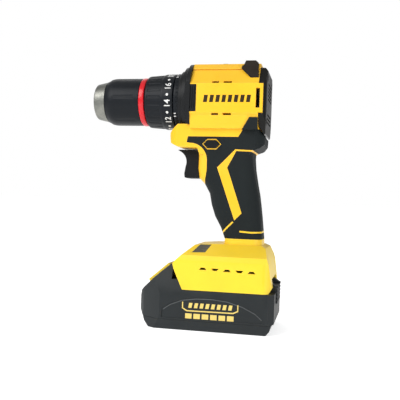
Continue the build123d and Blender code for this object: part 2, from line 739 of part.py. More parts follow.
SELECTOR_X = 26.1
SELECTOR_Z = AXIS_Z - 39.9
SELECTOR_HALF_X = 7.2
SELECTOR_HALF_Z = 3.3
SELECTOR_RIM = 1.2      # width of the hard plastic rim round the selector


def hexagon(half_x, half_z):
    x, z = SELECTOR_X, SELECTOR_Z
    return [
        (x - half_x, z),
        (x - half_x + half_z, z + half_z),
        (x + half_x - half_z, z + half_z),
        (x + half_x, z),
        (x + half_x - half_z, z - half_z),
        (x - half_x + half_z, z - half_z),
    ]


SCREW_SPOTS = lifted([(-2.5, 167.5), (61.5, 166.0), (57.0, 128.0), (32.0, 104.0), (43.0, 80.0), (64.0, 80.0)])
SCREW_HEAD_Y = 12.0
TAIL_X = 69.8           # the side panels run back beside the rear cap
TAIL_Z0 = AXIS_Z - 13.2
TAIL_Z1 = AXIS_Z + 11.4
CHEEK_T = 1.2


def build_housing():
    head = head_block(HEAD_FRONT_X, HEAD_REAR_X)
    ear = block(0, 12.4, 26.0, 45, AXIS_Z - 12.6, AXIS_Z + 11.0)
    head = cut(head, ear, ear.mirror(Plane.XZ))
    tail = block(HEAD_REAR_X - 1, TAIL_X, 27.6, HEAD_SIDE, TAIL_Z0, TAIL_Z1)
    head = fuse(head, tail, tail.mirror(Plane.XZ))
    groove = [
        (19.4, AXIS_Z + 25.9), (26.0, AXIS_Z + 25.9), (26.0, AXIS_Z + 24.5), (19.4, AXIS_Z + 24.5)
    ]
    line = prism_yz(groove, 0, HEAD_REAR_X + 1)
    head = cut(head, line, line.mirror(Plane.XZ))
    # side panel is bounded by recessed strips above and below it
    vents = vent_cutters()
    head = cut(head, *vents)
    handle = fuse(yoke_solid(0), grip_solid(0))
    foot = cut(foot_solid(0), *foot_vents())
    outer = fuse(head, handle, foot)

    skin_zone = prism_xz(lifted(OVERMOLD_OUTLINE), -45, 45)
    skin_zone = skin_zone - prism_xz(lifted(CHEVRON), -50, 50)
    for line_points in GRIP_LINES:
        skin_zone = skin_zone - prism_xz(lifted(line_points), -50, 50)
    skin_zone = skin_zone - prism_xz(
        hexagon(SELECTOR_HALF_X + SELECTOR_RIM, SELECTOR_HALF_Z + SELECTOR_RIM), -50, 50
    )
    core = fuse(yoke_solid(SKIN), grip_solid(SKIN))
    core = fuse(core, head_block(0, HEAD_REAR_X + 8), foot_solid(0))
    skin = (handle & skin_zone) - core
    body = outer - skin
    cheek = head_block(40, HEAD_REAR_X, CHEEK_T) & prism_xz(lifted(CHEEK), -45, 45)
    cheek = cut(cheek, head_block(30, HEAD_REAR_X + 1, 0), block(0, 100, -45, 45, 0, AXIS_Z - 27.4), body)
    skin = fuse(skin, cheek)

    # hollow for motor and gearbox, grip and foot
    motor_hole = rod_x(HEAD_FRONT_X - 1, HEAD_REAR_X + 1, BORE_R)
    tube_hole = rod_x(-30, HEAD_FRONT_X, CASE_R + GAP)
    grip_hole = fuse(yoke_solid(SKIN + WALL), grip_solid(SKIN + WALL))
    foot_hole = foot_solid(WALL + 0.5) & block(-20, 100, -60, 60, TOWER_TOP + 4.5, 100)
    body = cut(body, motor_hole, tube_hole, grip_hole, foot_hole)
    # the mode ring, gear case and collar pass in front of the nose
    body = cut(body, rod_x(-40, HEAD_FRONT_X, MODE_R + 3.0))
    rail = block(-20, 100, -TOWER_HALF - GAP, TOWER_HALF + GAP, 20, TOWER_TOP + GAP)
    tongue = block(
        -20, TOWER_X1 + 1.0, -TOWER_HALF - 2 - GAP, TOWER_HALF + 2 + GAP, TOWER_TOP - 3 - GAP, TOWER_TOP + GAP
    )
    body = cut(body, rail, tongue)
    body = body - rod_z(TOWER_TOP + 6, 80, 8.0, WIRE_X, 0)
    terminal_hole = block(TERMINAL_X0 - SEAT, TERMINAL_X1 + SEAT, -16.1, 16.1, TOWER_TOP, TOWER_TOP + 8)
    body = body - terminal_hole
    # openings for the controls
    trigger_hole = block(-20, 28, -TRIGGER_HALF - GAP, TRIGGER_HALF + GAP, TRIGGER_Z - 14.1, TRIGGER_Z + 12.2)
    plunger_hole = block(20, 40, -6, 6, TRIGGER_Z - 11, TRIGGER_Z + 10)
    selector_hole = prism_xz(hexagon(SELECTOR_HALF_X + GAP, SELECTOR_HALF_Z + GAP), -60, 60)
    knob_slot = block(
        KNOB_X - 0.4, KNOB_X + KNOB_L + SHIFT_TRAVEL + 0.4, -3.9, 3.9, AXIS_Z + 20, AXIS_Z + 50
    )
    slider_pocket = block(14.0, 48.0, -7.3, 7.3, AXIS_Z + 20, SLIDER_Z + SLIDER_T + GAP)
    body = cut(body, trigger_hole, plunger_hole, selector_hole, knob_slot, slider_pocket)
    skin = cut(skin, trigger_hole)
    # lens seats
    body = cut(body, light_seat(SEAT), gauge_block(SEAT))
    # motor ribs that hold the stator
    rib = tube_x(STATOR_X + 1.5, STATOR_X + 3.5, BORE_R + 1, STATOR_R + SEAT)
    rib_2 = rib.moved(Location((STATOR_L - 5.0, 0, 0)))
    body = fuse(body, rib, rib_2)
    # screw bosses
    for x, z in SCREW_SPOTS:
        boss = rod_y(-SCREW_HEAD_Y - 6, SCREW_HEAD_Y + 6, SCREW_HEAD_R + 1.5, x, z) & outer_core()
        body = fuse(body, boss)
    for x, z in SCREW_SPOTS:
        body = body - rod_y(-9.0, SCREW_HEAD_Y + 0.2, SCREW_R + RUN, x, z)
        body = body - rod_y(SCREW_HEAD_Y, 60, SCREW_HEAD_R + SEAT, x, z)
        skin = skin - rod_y(SCREW_HEAD_Y, 60, SCREW_HEAD_R + SEAT, x, z)
    left = block(-150, 150, -100, 0, -10, 300)
    right = block(-150, 150, 0, 100, -10, 300)
    save("left_housing", body & left)
    save("right_housing", body & right)
    save("left_overmold", skin & left)
    save("right_overmold", skin & right)
    save("case_screws", [screw(x, z) for x, z in SCREW_SPOTS])


def outer_core():
    return fuse(yoke_solid(SKIN), grip_solid(SKIN), foot_solid(0))


def screw(x, z):
    head = rod_y(SCREW_HEAD_Y, SCREW_HEAD_Y + 2.4, SCREW_HEAD_R, x, z)
    shank = rod_y(-8.5, SCREW_HEAD_Y + 0.5, SCREW_R, x, z)
    recess = fuse(
        block(x - 2.0, x + 2.0, SCREW_HEAD_Y + 1.2, SCREW_HEAD_Y + 3, z - 0.45, z + 0.45),
        block(x - 0.45, x + 0.45, SCREW_HEAD_Y + 1.2, SCREW_HEAD_Y + 3, z - 2.0, z + 2.0),
    )
    return fuse(head, shank) - recess


VENT_DEPTH = 4.5


def foot_vents():
    """Row of small trapezoid vents in each side of the foot, every other one upside down."""
    cutters = []
    for i in range(5):
        x = 24.4 + 10.4 * i
        z = 53.6 - 0.3 * i
        wide, narrow = (3.4, 1.6)
        low, high = (narrow, wide) if i % 2 else (wide, narrow)
        outline = [(x - low, z - 1.0), (x + low, z - 1.0), (x + high, z + 1.0), (x - high, z + 1.0)]
        cutters.append(prism_xz(outline, -FOOT_HALF - 2, -FOOT_HALF + VENT_DEPTH))
        cutters.append(prism_xz(outline, FOOT_HALF - VENT_DEPTH, FOOT_HALF + 2))
    return cutters


def vent_cutters():
    """Air vents in the head's sides: dashes above and below the panel and one tall slot."""
    cutters = []
    for side in (-1, 1):
        for z in (AXIS_Z + 12.7, AXIS_Z - 14.6):
            for x0, x1 in ((25.9, 31.9), (35.8, 43.0)):
                y = sorted((side * 24.0, side * 40.0))
                cutters.append(block(x0, x1, y[0], y[1], z - 0.9, z + 0.9))
        y = sorted((side * 20.0, side * 40.0))
        cutters.append(block(63.9, 67.3, y[0], y[1], AXIS_Z - 9.3, AXIS_Z + 7.6))
    return cutters


# ---------------------------------------------------------------- covers and trim
def build_covers():
    # front collar: turned steps in front of the head, with a ribbed ear on each side
    collar = turned([
        (-4.9, 26.0),
        (-4.9, 27.2),
        (-4.4, 27.7),
        (-1.6, 28.0),
        (-0.8, 31.0),
        (2.0, 31.6),
        (3.2, 34.0),
        (HEAD_FRONT_X - SEAT, 34.5),
        (HEAD_FRONT_X - SEAT, CASE_R + SEAT),
        (MODE_REAR_X + GAP, CASE_R + SEAT),
        (MODE_REAR_X + GAP, MODE_R + GAP),
        (-4.9, MODE_R + GAP),
    ])
    collar = collar & block(-50, 50, -31.5, 31.5, 100, AXIS_Z + HEAD_TOP)
    nose_room = prism_yz(
        mirror_list([(YOKE_HALF + 1, AXIS_Z - 22.0), (YOKE_HALF + 1, 100.0)]), -50, 50
    )
    collar = collar - nose_room
    ears = []
    for side in (-1, 1):
        y = sorted((side * (BORE_R + 1.2), side * HEAD_SIDE))
        ear = block(HEAD_FRONT_X - SEAT - 2.0, 12.2, y[0], y[1], AXIS_Z - 12.4, AXIS_Z + 10.8)
        for rib in range(4):
            x = 5.0 + 1.8 * rib
            yo = sorted((side * (HEAD_SIDE - 0.7), side * (HEAD_SIDE + 2)))
            ear = ear - block(x, x + 0.8, yo[0], yo[1], AXIS_Z - 10.0, AXIS_Z + 9.0)
        ears.append(ear)
    collar = fuse(collar, *ears)
    save("front_collar", collar)

    # rear cap closes the motor end and carries the rear bearing
    side_view = [
        (HEAD_REAR_X + SEAT, AXIS_Z + 27.4),
        (70.4, AXIS_Z + 27.0),
        (CAP_REAR_X, AXIS_Z + 24.0),
        (CAP_REAR_X, AXIS_Z - 6.0),
        (72.2, AXIS_Z - 30.4),
        (71.2, AXIS_Z - 31.2),
        (HEAD_REAR_X + SEAT, AXIS_Z - 22.6),
    ]
    cap = prism_xz(side_view, -40, 40)
    cap = cap & rounded_plan(40, CAP_REAR_X, HEAD_SIDE - 1.5, 7.0, 100, 300)
    section = head_profile(-1.5)[:-1] + [(24.5, AXIS_Z - 26.0), (22.0, AXIS_Z - 33.0)]
    cap = cap & prism_yz(mirror_list(section), HEAD_REAR_X, 90)
    hollow = rod_x(HEAD_REAR_X - 1, CAP_REAR_X - 2.4, 24.5)
    cap = cap - hollow
    for side in (-1, 1):
        y = sorted((side * (27.6 - SEAT), side * 40))
        cap = cap - block(60, TAIL_X + SEAT, y[0], y[1], TAIL_Z0 - SEAT, TAIL_Z1 + SEAT)
    boss = rod_x(REAR_BEARING_X - 0.1, CAP_REAR_X - 2.0, MOTOR_BEARING_R + 2.0)
    cap = fuse(cap, boss)
    cap = cap - rod_x(REAR_BEARING_X - 1, REAR_BEARING_X + 4.2, MOTOR_BEARING_R + 0.02)
    for i in range(5):
        z = AXIS_Z + 16.0 - 3.2 * i - 3.0
        cap = cap - block(60, 80, -15, 15, z, z + 1.6)
        zl = AXIS_Z - 12.0 - 3.2 * i
        if i < 3:
            cap = cap - block(60, 80, -15, 15, zl - 1.6, zl)
    holes = [rod_x(CAP_REAR_X - 3.0, 90, 3.3, y, z) for y, z in CAP_SCREWS]
    cap = cut(cap, *holes)
    save("rear_cap", cap)

    # top bumper wraps over the rear of the head
    outline = [
        (50.0, AXIS_Z + 28.5),
        (51.4, AXIS_Z + 29.3),
        (52.8, AXIS_Z + 34.1),
        (61.4, AXIS_Z + 34.1),
        (64.0, AXIS_Z + 31.5),
        (65.6, AXIS_Z + 17.0),
        (58.6, AXIS_Z + 17.0),
        (50.0, AXIS_Z + 25.6),
    ]
    wrap = head_block(40, 70, 2.7) & prism_xz(outline, -27, 27)
    wrap = wrap - prism_yz(mirror_list(head_profile(0.02)), 30, 80)
    save("top_bumper", wrap)

    cap_screws = []
    for y, z in CAP_SCREWS:
        head = rod_x(CAP_REAR_X - 2.9, CAP_REAR_X - 0.9, 3.0, y, z)
        cap_screws.append(head)
    return cap_screws


CAP_SCREWS = [(-20.0, AXIS_Z + 18.0), (20.0, AXIS_Z + 18.0), (-20.0, AXIS_Z - 20.0), (20.0, AXIS_Z - 20.0)]


def light_seat(extra):
    half = 5.0 + extra
    return block(-20, -8.0 + extra, -half, half, AXIS_Z - 36.5 - extra, AXIS_Z - 31.5 + extra)


def gauge_block(extra):
    """Charge gauge window on the left slope of the foot, clear of the slope's edges."""
    outline = [(28.4, 73.2), (18.6, 73.0), (13.4, 66.8), (24.8, 67.2)]
    grown = inset_outline(outline, -extra)
    return prism_xz(grown, -FOOT_HALF + 5 - extra, -14.0)


def build_controls():
    lens = light_seat(0) & yoke_solid(0)
    save("worklight_lens", lens)
    save("gauge_window", gauge_block(0) & foot_solid(0))

    # trigger with its plunger, and the switch that it pushes into
    outline = [
        (-8.1, 156.6),
        *arc(-9.5, 145.6, 10.4, 62, -20, 8),
        (-0.9, 135.0),
        (-0.4, 131.8),
        (1.4, 131.2),
        (21.0, 131.4),
        (21.0, 156.6),
    ]
    finger = prism_xz(lifted(outline), -TRIGGER_HALF, TRIGGER_HALF)
    finger = finger & rounded_plan(-8.1, 40, TRIGGER_HALF, 5.0, lift(130), lift(170))
    plunger = rod_x(20.0, PLUNGER_X1, PLUNGER_R, 0, TRIGGER_Z)
    save("trigger", fuse(finger, plunger))
    switch = block(SWITCH_X, SWITCH_X + 21, -11.0, 11.0, TRIGGER_Z - 8.5, TRIGGER_Z + 8.5)
    switch_bore_end = PLUNGER_X1 + TRIGGER_TRAVEL + 2.4
    switch = switch - rod_x(SWITCH_X - 1, switch_bore_end, PLUNGER_R + RUN, 0, TRIGGER_Z)
    low = TRIGGER_Z - 12
    terminals = [block(SWITCH_X + 3, SWITCH_X + 9, y, y + 1.0, low, low + 4) for y in (-7, -0.5, 6)]
    save("trigger_switch", fuse(switch, *terminals))
    save("trigger_spring", coil_spring(22.2, 2.2, 4, 4.2, 0.6, TRIGGER_Z))

    reach = YOKE_HALF - 1.8 + SELECTOR_TRAVEL
    save("direction_selector", prism_xz(hexagon(SELECTOR_HALF_X, SELECTOR_HALF_Z), -reach, reach))

    plate = block(16.0, 42.0, -6.8, 6.8, SLIDER_Z, SLIDER_Z + SLIDER_T)
    knob = block(KNOB_X, KNOB_X + KNOB_L, -3.5, 3.5, SLIDER_Z + 1, AXIS_Z + KNOB_TOP)
    save("speed_selector", fuse(plate, knob))

    board = block(38.0, 68.0, -13.0, 13.0, 62.0, 63.6)
    chips = [block(42 + 8 * i, 47 + 8 * i, -8, 8, 63.5, 66.0) for i in range(3)]
    save("controller_board", fuse(board, *chips))
    base = block(TERMINAL_X0, TERMINAL_X1, -16.0, 16.0, TOWER_TOP + GAP + 0.1, TOWER_TOP + 7.5)
    blades = [
        block(TERMINAL_X0 + 4, TERMINAL_X0 + 14, y - 0.4, y + 0.4, TOWER_TOP - 7, TOWER_TOP + 1)
        for y in BLADES_Y
    ]
    save("battery_terminals", fuse(base, *blades))
    wires = []
    for i in range(3):
        wires.append(rod_z(66.5, TRIGGER_Z - 24, 1.3, WIRE_X, 3.2 * (i - 1)))
    save("wire_bundle", wires)


SWITCH_X = 30.4
PLUNGER_X1 = SWITCH_X + 3.6
PLUNGER_R = 2.4
TRIGGER_Z = AXIS_Z - 55.5
WIRE_X = 52.0
TERMINAL_X0 = 40.0
TERMINAL_X1 = 62.0
BLADES_Y = (-12.0, -4.0, 4.0, 12.0)


# ---------------------------------------------------------------- battery
PACK_X0 = -33.9         # front of the battery
PACK_X1 = 85.4          # rear of the battery without its grip tab
PACK_OUTLINE = [
    (-3.3, 57.0),
    (-9.0, 52.6),
    (-32.7, 31.0),
    (PACK_X0, 26.0),
    (PACK_X0, 14.0),
    (-31.0, 9.0),
    (-28.0, 4.0),
    (-24.0, 0.0),
    (79.0, 0.0),
    (82.0, 4.0),
    (83.2, PACK_SEAM),
    (PACK_X1, PACK_SEAM + 1.0),
    (PACK_X1, 38.0),
    (81.0, 43.0),
    (-3.3, 43.0),
]


def pack_plan(inset):
    """Outline of the battery from above, with long chamfers in front and short ones behind."""
    half = PACK_HALF - inset
    points = [
        (PACK_X0 + inset, -half + 17.5),
        (PACK_X0 + inset + 5.0, -half + 10.5),
        (PACK_X0 + inset + 21.5, -half),
        (PACK_X1 - inset - 5.0, -half),
        (PACK_X1 - inset, -half + 5.0),
    ]
    return points + [(x, -y) for x, y in reversed(points)]


def pack_solid(inset):
    outline = inset_outline(PACK_OUTLINE, inset)
    solid = prism_xz(outline, -45, 45)
    half = PACK_HALF - inset
    base = face_of([(x, y, -5) for x, y in pack_plan(inset)])
    plan = Solid.extrude(base, Vector(0, 0, 75))
    profile = [
        (half - 12.0, 60.0), (half - 3.0, 40.0), (half, 31.0 - inset), (half, 12.0), (half - 3.6, -1.0)
    ]
    return (solid & plan) & prism_yz(mirror_list(profile), -50, 100)


def latch_prism(low, high, half, extra=0.0):
    """Block on the sloping front; low and high are its distances from the slope's surface."""
    ax, az = -8.7 + 0.756 * extra, 51.8 + 0.655 * extra
    bx, bz = -26.7 - 0.756 * extra, 36.2 - 0.655 * extra
    nx, nz = -0.655, 0.756
    outline = [
        (ax + nx * low, az + nz * low),
        (bx + nx * low, bz + nz * low),
        (bx + nx * high, bz + nz * high),
        (ax + nx * high, az + nz * high),
    ]
    return prism_xz(outline, -half - extra, half + extra)


def build_battery():
    solid = pack_solid(0)
    # room for the foot above the pack and behind the front hump
    slab = block(6.5, 100, -60, 60, PACK_TOP, 90)
    front_room = prism_xz(
        [(-3.4, 58.0), (-0.75 - GAP, 50.5), (6.5, PACK_TOP), (30, PACK_TOP), (30, 70), (-3.4, 70)], -60, 60
    )
    rear = prism_xz([(75.0, 33.0), (85.4, 33.0), (85.4, 40.3), (81.0, 43.0), (75.0, 43.0)], -20.5, 20.5)
    rear = rear - block(70, 90, -13.4, 13.4, 38.5, 50)
    solid = cut(solid, slab, front_room)
    tower = block(TOWER_X0, TOWER_X1, -TOWER_HALF, TOWER_HALF, PACK_TOP - 1, TOWER_TOP)
    lips = block(TOWER_X0, TOWER_X1, -TOWER_HALF - 2, TOWER_HALF + 2, TOWER_TOP - 3, TOWER_TOP)
    solid = fuse(solid, tower, lips, rear)
    # rear grip tab with ridges
    tab = block(84.0, HALF_LENGTH, -18, 18, 25.2, 40.3)
    for i in range(4):
        tab = tab - block(HALF_LENGTH - 0.7, 90, -19, 19, 27.2 + 3.2 * i, 28.8 + 3.2 * i)
    tab = tab - block(70, 90, -13.4, 13.4, 38.5, 50)
    solid = fuse(solid, tab)
    # hollow inside, then the slots for the terminal blades
    inner = pack_solid(PACK_WALL) & block(-60, 100, -60, 60, PACK_WALL, PACK_TOP - PACK_WALL)
    tower_hole = block(TOWER_X0 + 2, TOWER_X1 - 3, -TOWER_HALF + 2, TOWER_HALF - 2, 20, TOWER_TOP - 6)
    solid = cut(solid, inner, tower_hole)
    for y in BLADES_Y:
        solid = solid - block(TERMINAL_X0 + 3, TOWER_X1 + 1, y - 0.9, y + 0.9, TOWER_TOP - 7.5, TOWER_TOP + 1)
    solid = cut(solid, latch_prism(-7.0, 10.0, LATCH_HALF, GAP))
    # shallow recess on each side
    for side in (-1, 1):
        y = sorted((side * (PACK_HALF - 0.8), side * (PACK_HALF + 5)))
        solid = solid - prism_xz(RECESS, y[0], y[1])
    upper = solid & block(-100, 120, -60, 60, PACK_SEAM, 100)
    lower = solid & block(-100, 120, -60, 60, -5, PACK_SEAM)
    save("battery_top_case", upper)
    lower = lower - block(-100, 120, -60, 60, PACK_SEAM - 0.02, PACK_SEAM + 1)
    save("battery_bottom_case", lower)
    cell_z = PACK_WALL + 0.4 + CELL_R
    first = PACK_X1 - PACK_WALL - 1.8 - CELL_R - CELL_PITCH * (CELLS - 1)
    cells = [
        rod_y(-CELL_L / 2, CELL_L / 2, CELL_R, first + CELL_PITCH * i, cell_z) for i in range(CELLS)
    ]
    save("battery_cells", cells)
    board_z = cell_z + CELL_R + 1.5
    board = block(14, 72, -17, 17, board_z, board_z + 1.6)
    contacts = []
    for y in BLADES_Y:
        for shift in (-0.75, 0.55):
            x, low = TERMINAL_X0 + 6, y + shift
            contacts.append(block(x, x + 6, low, low + 0.2, board_z + 1, TOWER_TOP - 4))
    save("battery_board", fuse(board, *contacts))
    button = latch_prism(-5.0 + LATCH_TRAVEL, 4.0, LATCH_HALF)
    save("battery_latch", button)


RECESS = [
    (-10.5, 10.5),
    (-10.0, 18.5),
    (-3.0, 23.0),
    (7.4, 27.2),
    (19.0, 29.0),
    (33.0, 29.4),
    (46.5, 28.2),
    (59.4, 24.6),
    (70.6, 19.2),
    (76.6, 14.2),
    (76.6, 10.5),
]


# ---------------------------------------------------------------- build and write
def main():
    build_gearbox()
    build_clutch_rings()
    build_chuck()
    build_spindle()
    build_motor()
    build_housing()
    cap_screws = build_covers()
    PARTS["case_screws"] = Compound(solids_in(PARTS["case_screws"]) + solids_in(cap_screws))
    build_controls()
    build_battery()
    os.makedirs("parts", exist_ok=True)
    for name, shape in PARTS.items():
        export_step(shape, f"parts/{name}.step")
    print(len(PARTS), "parts written")


main()
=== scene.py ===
# %% [markdown]
# # Cordless drill driver: shells, rubber and steel round a CAD frame
# The CAD model holds every working part of the drill at its real size.  This notebook gives
# those parts their look.  Moulded shells get rounded edges, the rings that a hand turns are
# spun afresh with their ribs and numbers, and every surface gets a material of its own.
# All lengths are in metres, and every place comes from the CAD parts.

# %% Load the frame
import json
import math

import bmesh
import bpy
from mathutils import Matrix, Vector

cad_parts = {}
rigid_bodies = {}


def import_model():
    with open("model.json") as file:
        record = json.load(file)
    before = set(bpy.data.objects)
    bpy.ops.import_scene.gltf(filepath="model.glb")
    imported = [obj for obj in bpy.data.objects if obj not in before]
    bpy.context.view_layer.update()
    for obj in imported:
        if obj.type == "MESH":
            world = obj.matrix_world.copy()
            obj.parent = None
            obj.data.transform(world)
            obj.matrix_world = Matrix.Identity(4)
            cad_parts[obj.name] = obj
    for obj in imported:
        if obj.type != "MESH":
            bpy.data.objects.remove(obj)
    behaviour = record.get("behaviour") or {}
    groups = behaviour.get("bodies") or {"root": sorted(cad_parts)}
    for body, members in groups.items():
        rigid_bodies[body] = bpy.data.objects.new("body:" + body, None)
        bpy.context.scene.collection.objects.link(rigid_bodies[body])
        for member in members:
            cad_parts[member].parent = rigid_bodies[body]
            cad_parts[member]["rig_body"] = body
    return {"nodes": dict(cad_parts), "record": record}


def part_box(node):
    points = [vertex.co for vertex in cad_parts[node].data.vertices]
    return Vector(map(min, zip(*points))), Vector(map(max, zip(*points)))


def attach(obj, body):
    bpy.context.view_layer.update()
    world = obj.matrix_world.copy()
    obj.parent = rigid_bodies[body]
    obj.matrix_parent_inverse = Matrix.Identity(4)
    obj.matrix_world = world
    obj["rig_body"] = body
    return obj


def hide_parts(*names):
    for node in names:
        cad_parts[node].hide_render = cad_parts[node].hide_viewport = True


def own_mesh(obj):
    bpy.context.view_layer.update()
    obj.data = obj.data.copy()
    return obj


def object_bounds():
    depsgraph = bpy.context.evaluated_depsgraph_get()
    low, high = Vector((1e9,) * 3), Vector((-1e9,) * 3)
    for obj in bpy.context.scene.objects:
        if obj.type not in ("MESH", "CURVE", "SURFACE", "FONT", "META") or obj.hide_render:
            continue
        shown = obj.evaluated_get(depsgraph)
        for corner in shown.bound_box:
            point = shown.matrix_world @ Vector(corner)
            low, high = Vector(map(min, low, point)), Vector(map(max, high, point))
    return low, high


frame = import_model()
cad_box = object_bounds()
nodes = frame["nodes"]
scene = bpy.context.scene
MM = 0.001

# %% [markdown]
# ## Where things are
# The spindle axis runs along X.  Its height is the middle of the torque ring's box, so every
# round piece is spun about a line that is read from the CAD model and not typed in.

# %% Read the main places
ring_low, ring_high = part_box("torque_ring")
AXIS_Z = (ring_low.z + ring_high.z) / 2
AXIS_POINT = Vector((0.0, 0.0, AXIS_Z))
low, high = cad_box
middle = (low + high) / 2
print("axis height", round(AXIS_Z, 4), "box", [round(v, 4) for v in (*low, *high)])

# %% [markdown]
# ## Camera
# A product picture of a tool is taken from its side with a long lens, a little from the front
# of the chuck's far side, so that the flat side stays almost undistorted.  The camera stands
# level with the handle and is rolled by two degrees, which leans the drill back on its battery.

# %% Place the camera
VIEW_YAW = math.radians(11.5)
VIEW_ROLL = math.radians(1.9)
VIEW_DISTANCE = 0.556
aim = middle + Vector((12.6 * MM, 0.0, -5.6 * MM))
camera_data = bpy.data.cameras.new("camera")
camera_data.lens = 55.0
camera_data.sensor_width = 36.0
camera = bpy.data.objects.new("camera", camera_data)
scene.collection.objects.link(camera)
spot = aim + Vector((math.sin(VIEW_YAW), -math.cos(VIEW_YAW), 0.0)) * VIEW_DISTANCE
ahead = (aim - spot).normalized()
right = ahead.cross(Vector((0, 0, 1))).normalized()
turn = Matrix((right, right.cross(ahead), -ahead)).transposed() @ Matrix.Rotation(VIEW_ROLL, 3, "Z")
camera.matrix_world = Matrix.Translation(spot) @ turn.to_4x4()
scene.camera = camera
print("camera at", [round(v, 3) for v in spot])

# %% [markdown]
# ## Floor and light
# A pale floor and three large, weak lamps give the even light of a catalogue picture.  Large
# lamps make soft edges on shadows and long, quiet highlights on black plastic, which would look
# like flat ink under a small lamp.  The sky is bright where the camera sees it and dimmer as a
# light, so the background stays white without washing out the yellow.

# %% Build the floor
FLOOR_RADIUS = 30.0
bm = bmesh.new()
bmesh.ops.create_circle(bm, cap_ends=True, radius=FLOOR_RADIUS, segments=64)
floor_mesh = bpy.data.meshes.new("floor")
bm.to_mesh(floor_mesh)
bm.free()
floor = bpy.data.objects.new("floor", floor_mesh)
scene.collection.objects.link(floor)
print("floor radius", FLOOR_RADIUS)

# %% Light it
SKY_LIGHT = 0.40
SKY_SEEN = 1.0
world = bpy.data.worlds.new("studio")
world.use_nodes = True
scene.world = world
scene.view_settings.view_transform = "Standard"
sky = world.node_tree
background = sky.nodes["Background"]
background.inputs["Color"].default_value = (1.0, 1.0, 1.0, 1.0)
seen = sky.nodes.new("ShaderNodeLightPath")
level = sky.nodes.new("ShaderNodeMapRange")
level.inputs["To Min"].default_value = SKY_LIGHT
level.inputs["To Max"].default_value = SKY_SEEN
sky.links.new(seen.outputs["Is Camera Ray"], level.inputs["Value"])
sky.links.new(level.outputs["Result"], background.inputs["Strength"])


def lamp(name, place, power, size):
    data = bpy.data.lights.new(name, "AREA")
    data.energy = power
    data.size = size
    item = bpy.data.objects.new(name, data)
    scene.collection.objects.link(item)
    item.location = place
    item.rotation_euler = (middle - Vector(place)).to_track_quat("-Z", "Y").to_euler()


lamp("window", (-0.55, -0.75, 0.75), 9.0, 0.7)
lamp("fill", (0.75, -0.6, 0.25), 2.5, 0.6)
lamp("back", (-0.3, 0.8, 0.7), 2.0, 0.8)

# %% [markdown]
# ## Shared surface effects
# Moulded plastic is never one flat colour.  Its mould was spark eroded, so it has a fine grain;
# handling polishes and chips its edges; dust settles on what faces up.  Each effect is a node
# group that is built once and placed in every material with its own values.  The groups put
# out masks and heights only, and the materials decide what to do with them.

# %% Helpers for node groups
def new_group(name, inputs, outputs):
    tree = bpy.data.node_groups.new(name, "ShaderNodeTree")
    for label, kind, value in inputs:
        socket = tree.interface.new_socket(name=label, in_out="INPUT", socket_type=kind)
        if value is not None:
            socket.default_value = value
    for label in outputs:
        tree.interface.new_socket(name=label, in_out="OUTPUT", socket_type="NodeSocketFloat")
    return tree, tree.nodes.new("NodeGroupInput"), tree.nodes.new("NodeGroupOutput")


def add(tree, kind, links=(), **settings):
    """Add a node; settings are its properties, and links pairs of an input and what feeds it."""
    node = tree.nodes.new(kind)
    for name, value in settings.items():
        setattr(node, name, value)
    for target, source in links:
        if isinstance(source, bpy.types.NodeSocket):
            tree.links.new(source, node.inputs[target])
        else:
            node.inputs[target].default_value = source
    return node


VECTOR = "NodeSocketVector"
FLOAT = "NodeSocketFloat"
print("helpers ready")

# %% [markdown]
# ### Moulding grain
# Two noises make the grain: a fine one for the spark-eroded texture, and a broad one for the
# slight mottling where the plastic flowed.  Noise on object coordinates needs no unwrapping.

# %% Group: moulding grain
grain, g_in, g_out = new_group(
    "moulding_grain", [("Vector", VECTOR, None), ("Scale", FLOAT, 2500.0)], ["Height", "Mottle"]
)
fine = add(grain, "ShaderNodeTexNoise", [
    ("Vector", g_in.outputs["Vector"]), ("Scale", g_in.outputs["Scale"]), ("Detail", 2.0),
])
broad = add(grain, "ShaderNodeTexNoise", [
    ("Vector", g_in.outputs["Vector"]), ("Scale", 45.0), ("Detail", 4.0), ("Roughness", 0.6),
])
grain.links.new(fine.outputs["Fac"], g_out.inputs["Height"])
grain.links.new(broad.outputs["Fac"], g_out.inputs["Mottle"])
print(grain.name, len(grain.nodes), "nodes")

# %% [markdown]
# ### Edge wear
# A bevel node rounds the normal near an edge.  Where the rounded normal turns away from the
# real one there is an edge, and a patchy noise breaks that line up into rubs and small chips.

# %% Group: edge wear
wear, w_in, w_out = new_group(
    "edge_wear", [("Vector", VECTOR, None), ("Radius", FLOAT, 0.0006), ("Amount", FLOAT, 0.5)], ["Mask"]
)
rounded = add(wear, "ShaderNodeBevel", [("Radius", w_in.outputs["Radius"])], samples=4)
facing = add(wear, "ShaderNodeNewGeometry")
same_way = add(wear, "ShaderNodeVectorMath", [
    (0, rounded.outputs["Normal"]), (1, facing.outputs["Normal"]),
], operation="DOT_PRODUCT")
edge = add(wear, "ShaderNodeMapRange", [
    ("Value", same_way.outputs["Value"]), ("From Min", 0.995), ("From Max", 0.90),
])
patches = add(wear, "ShaderNodeTexNoise", [
    ("Vector", w_in.outputs["Vector"]), ("Scale", 260.0), ("Detail", 5.0), ("Roughness", 0.7),
])
broken = add(wear, "ShaderNodeMapRange", [
    ("Value", patches.outputs["Fac"]), ("From Min", 0.42), ("From Max", 0.62),
])
both = add(wear, "ShaderNodeMath", [
    (0, edge.outputs["Result"]), (1, broken.outputs["Result"]),
], operation="MULTIPLY")
scaled = add(wear, "ShaderNodeMath", [
    (0, both.outputs["Value"]), (1, w_in.outputs["Amount"]),
], operation="MULTIPLY", use_clamp=True)
wear.links.new(scaled.outputs["Value"], w_out.inputs["Mask"])
print(wear.name, len(wear.nodes), "nodes")

# %% [markdown]
# ### Dust
# Dust lies on faces that look up and gathers unevenly, so the upward part of the normal is
# multiplied by a cloudy noise.

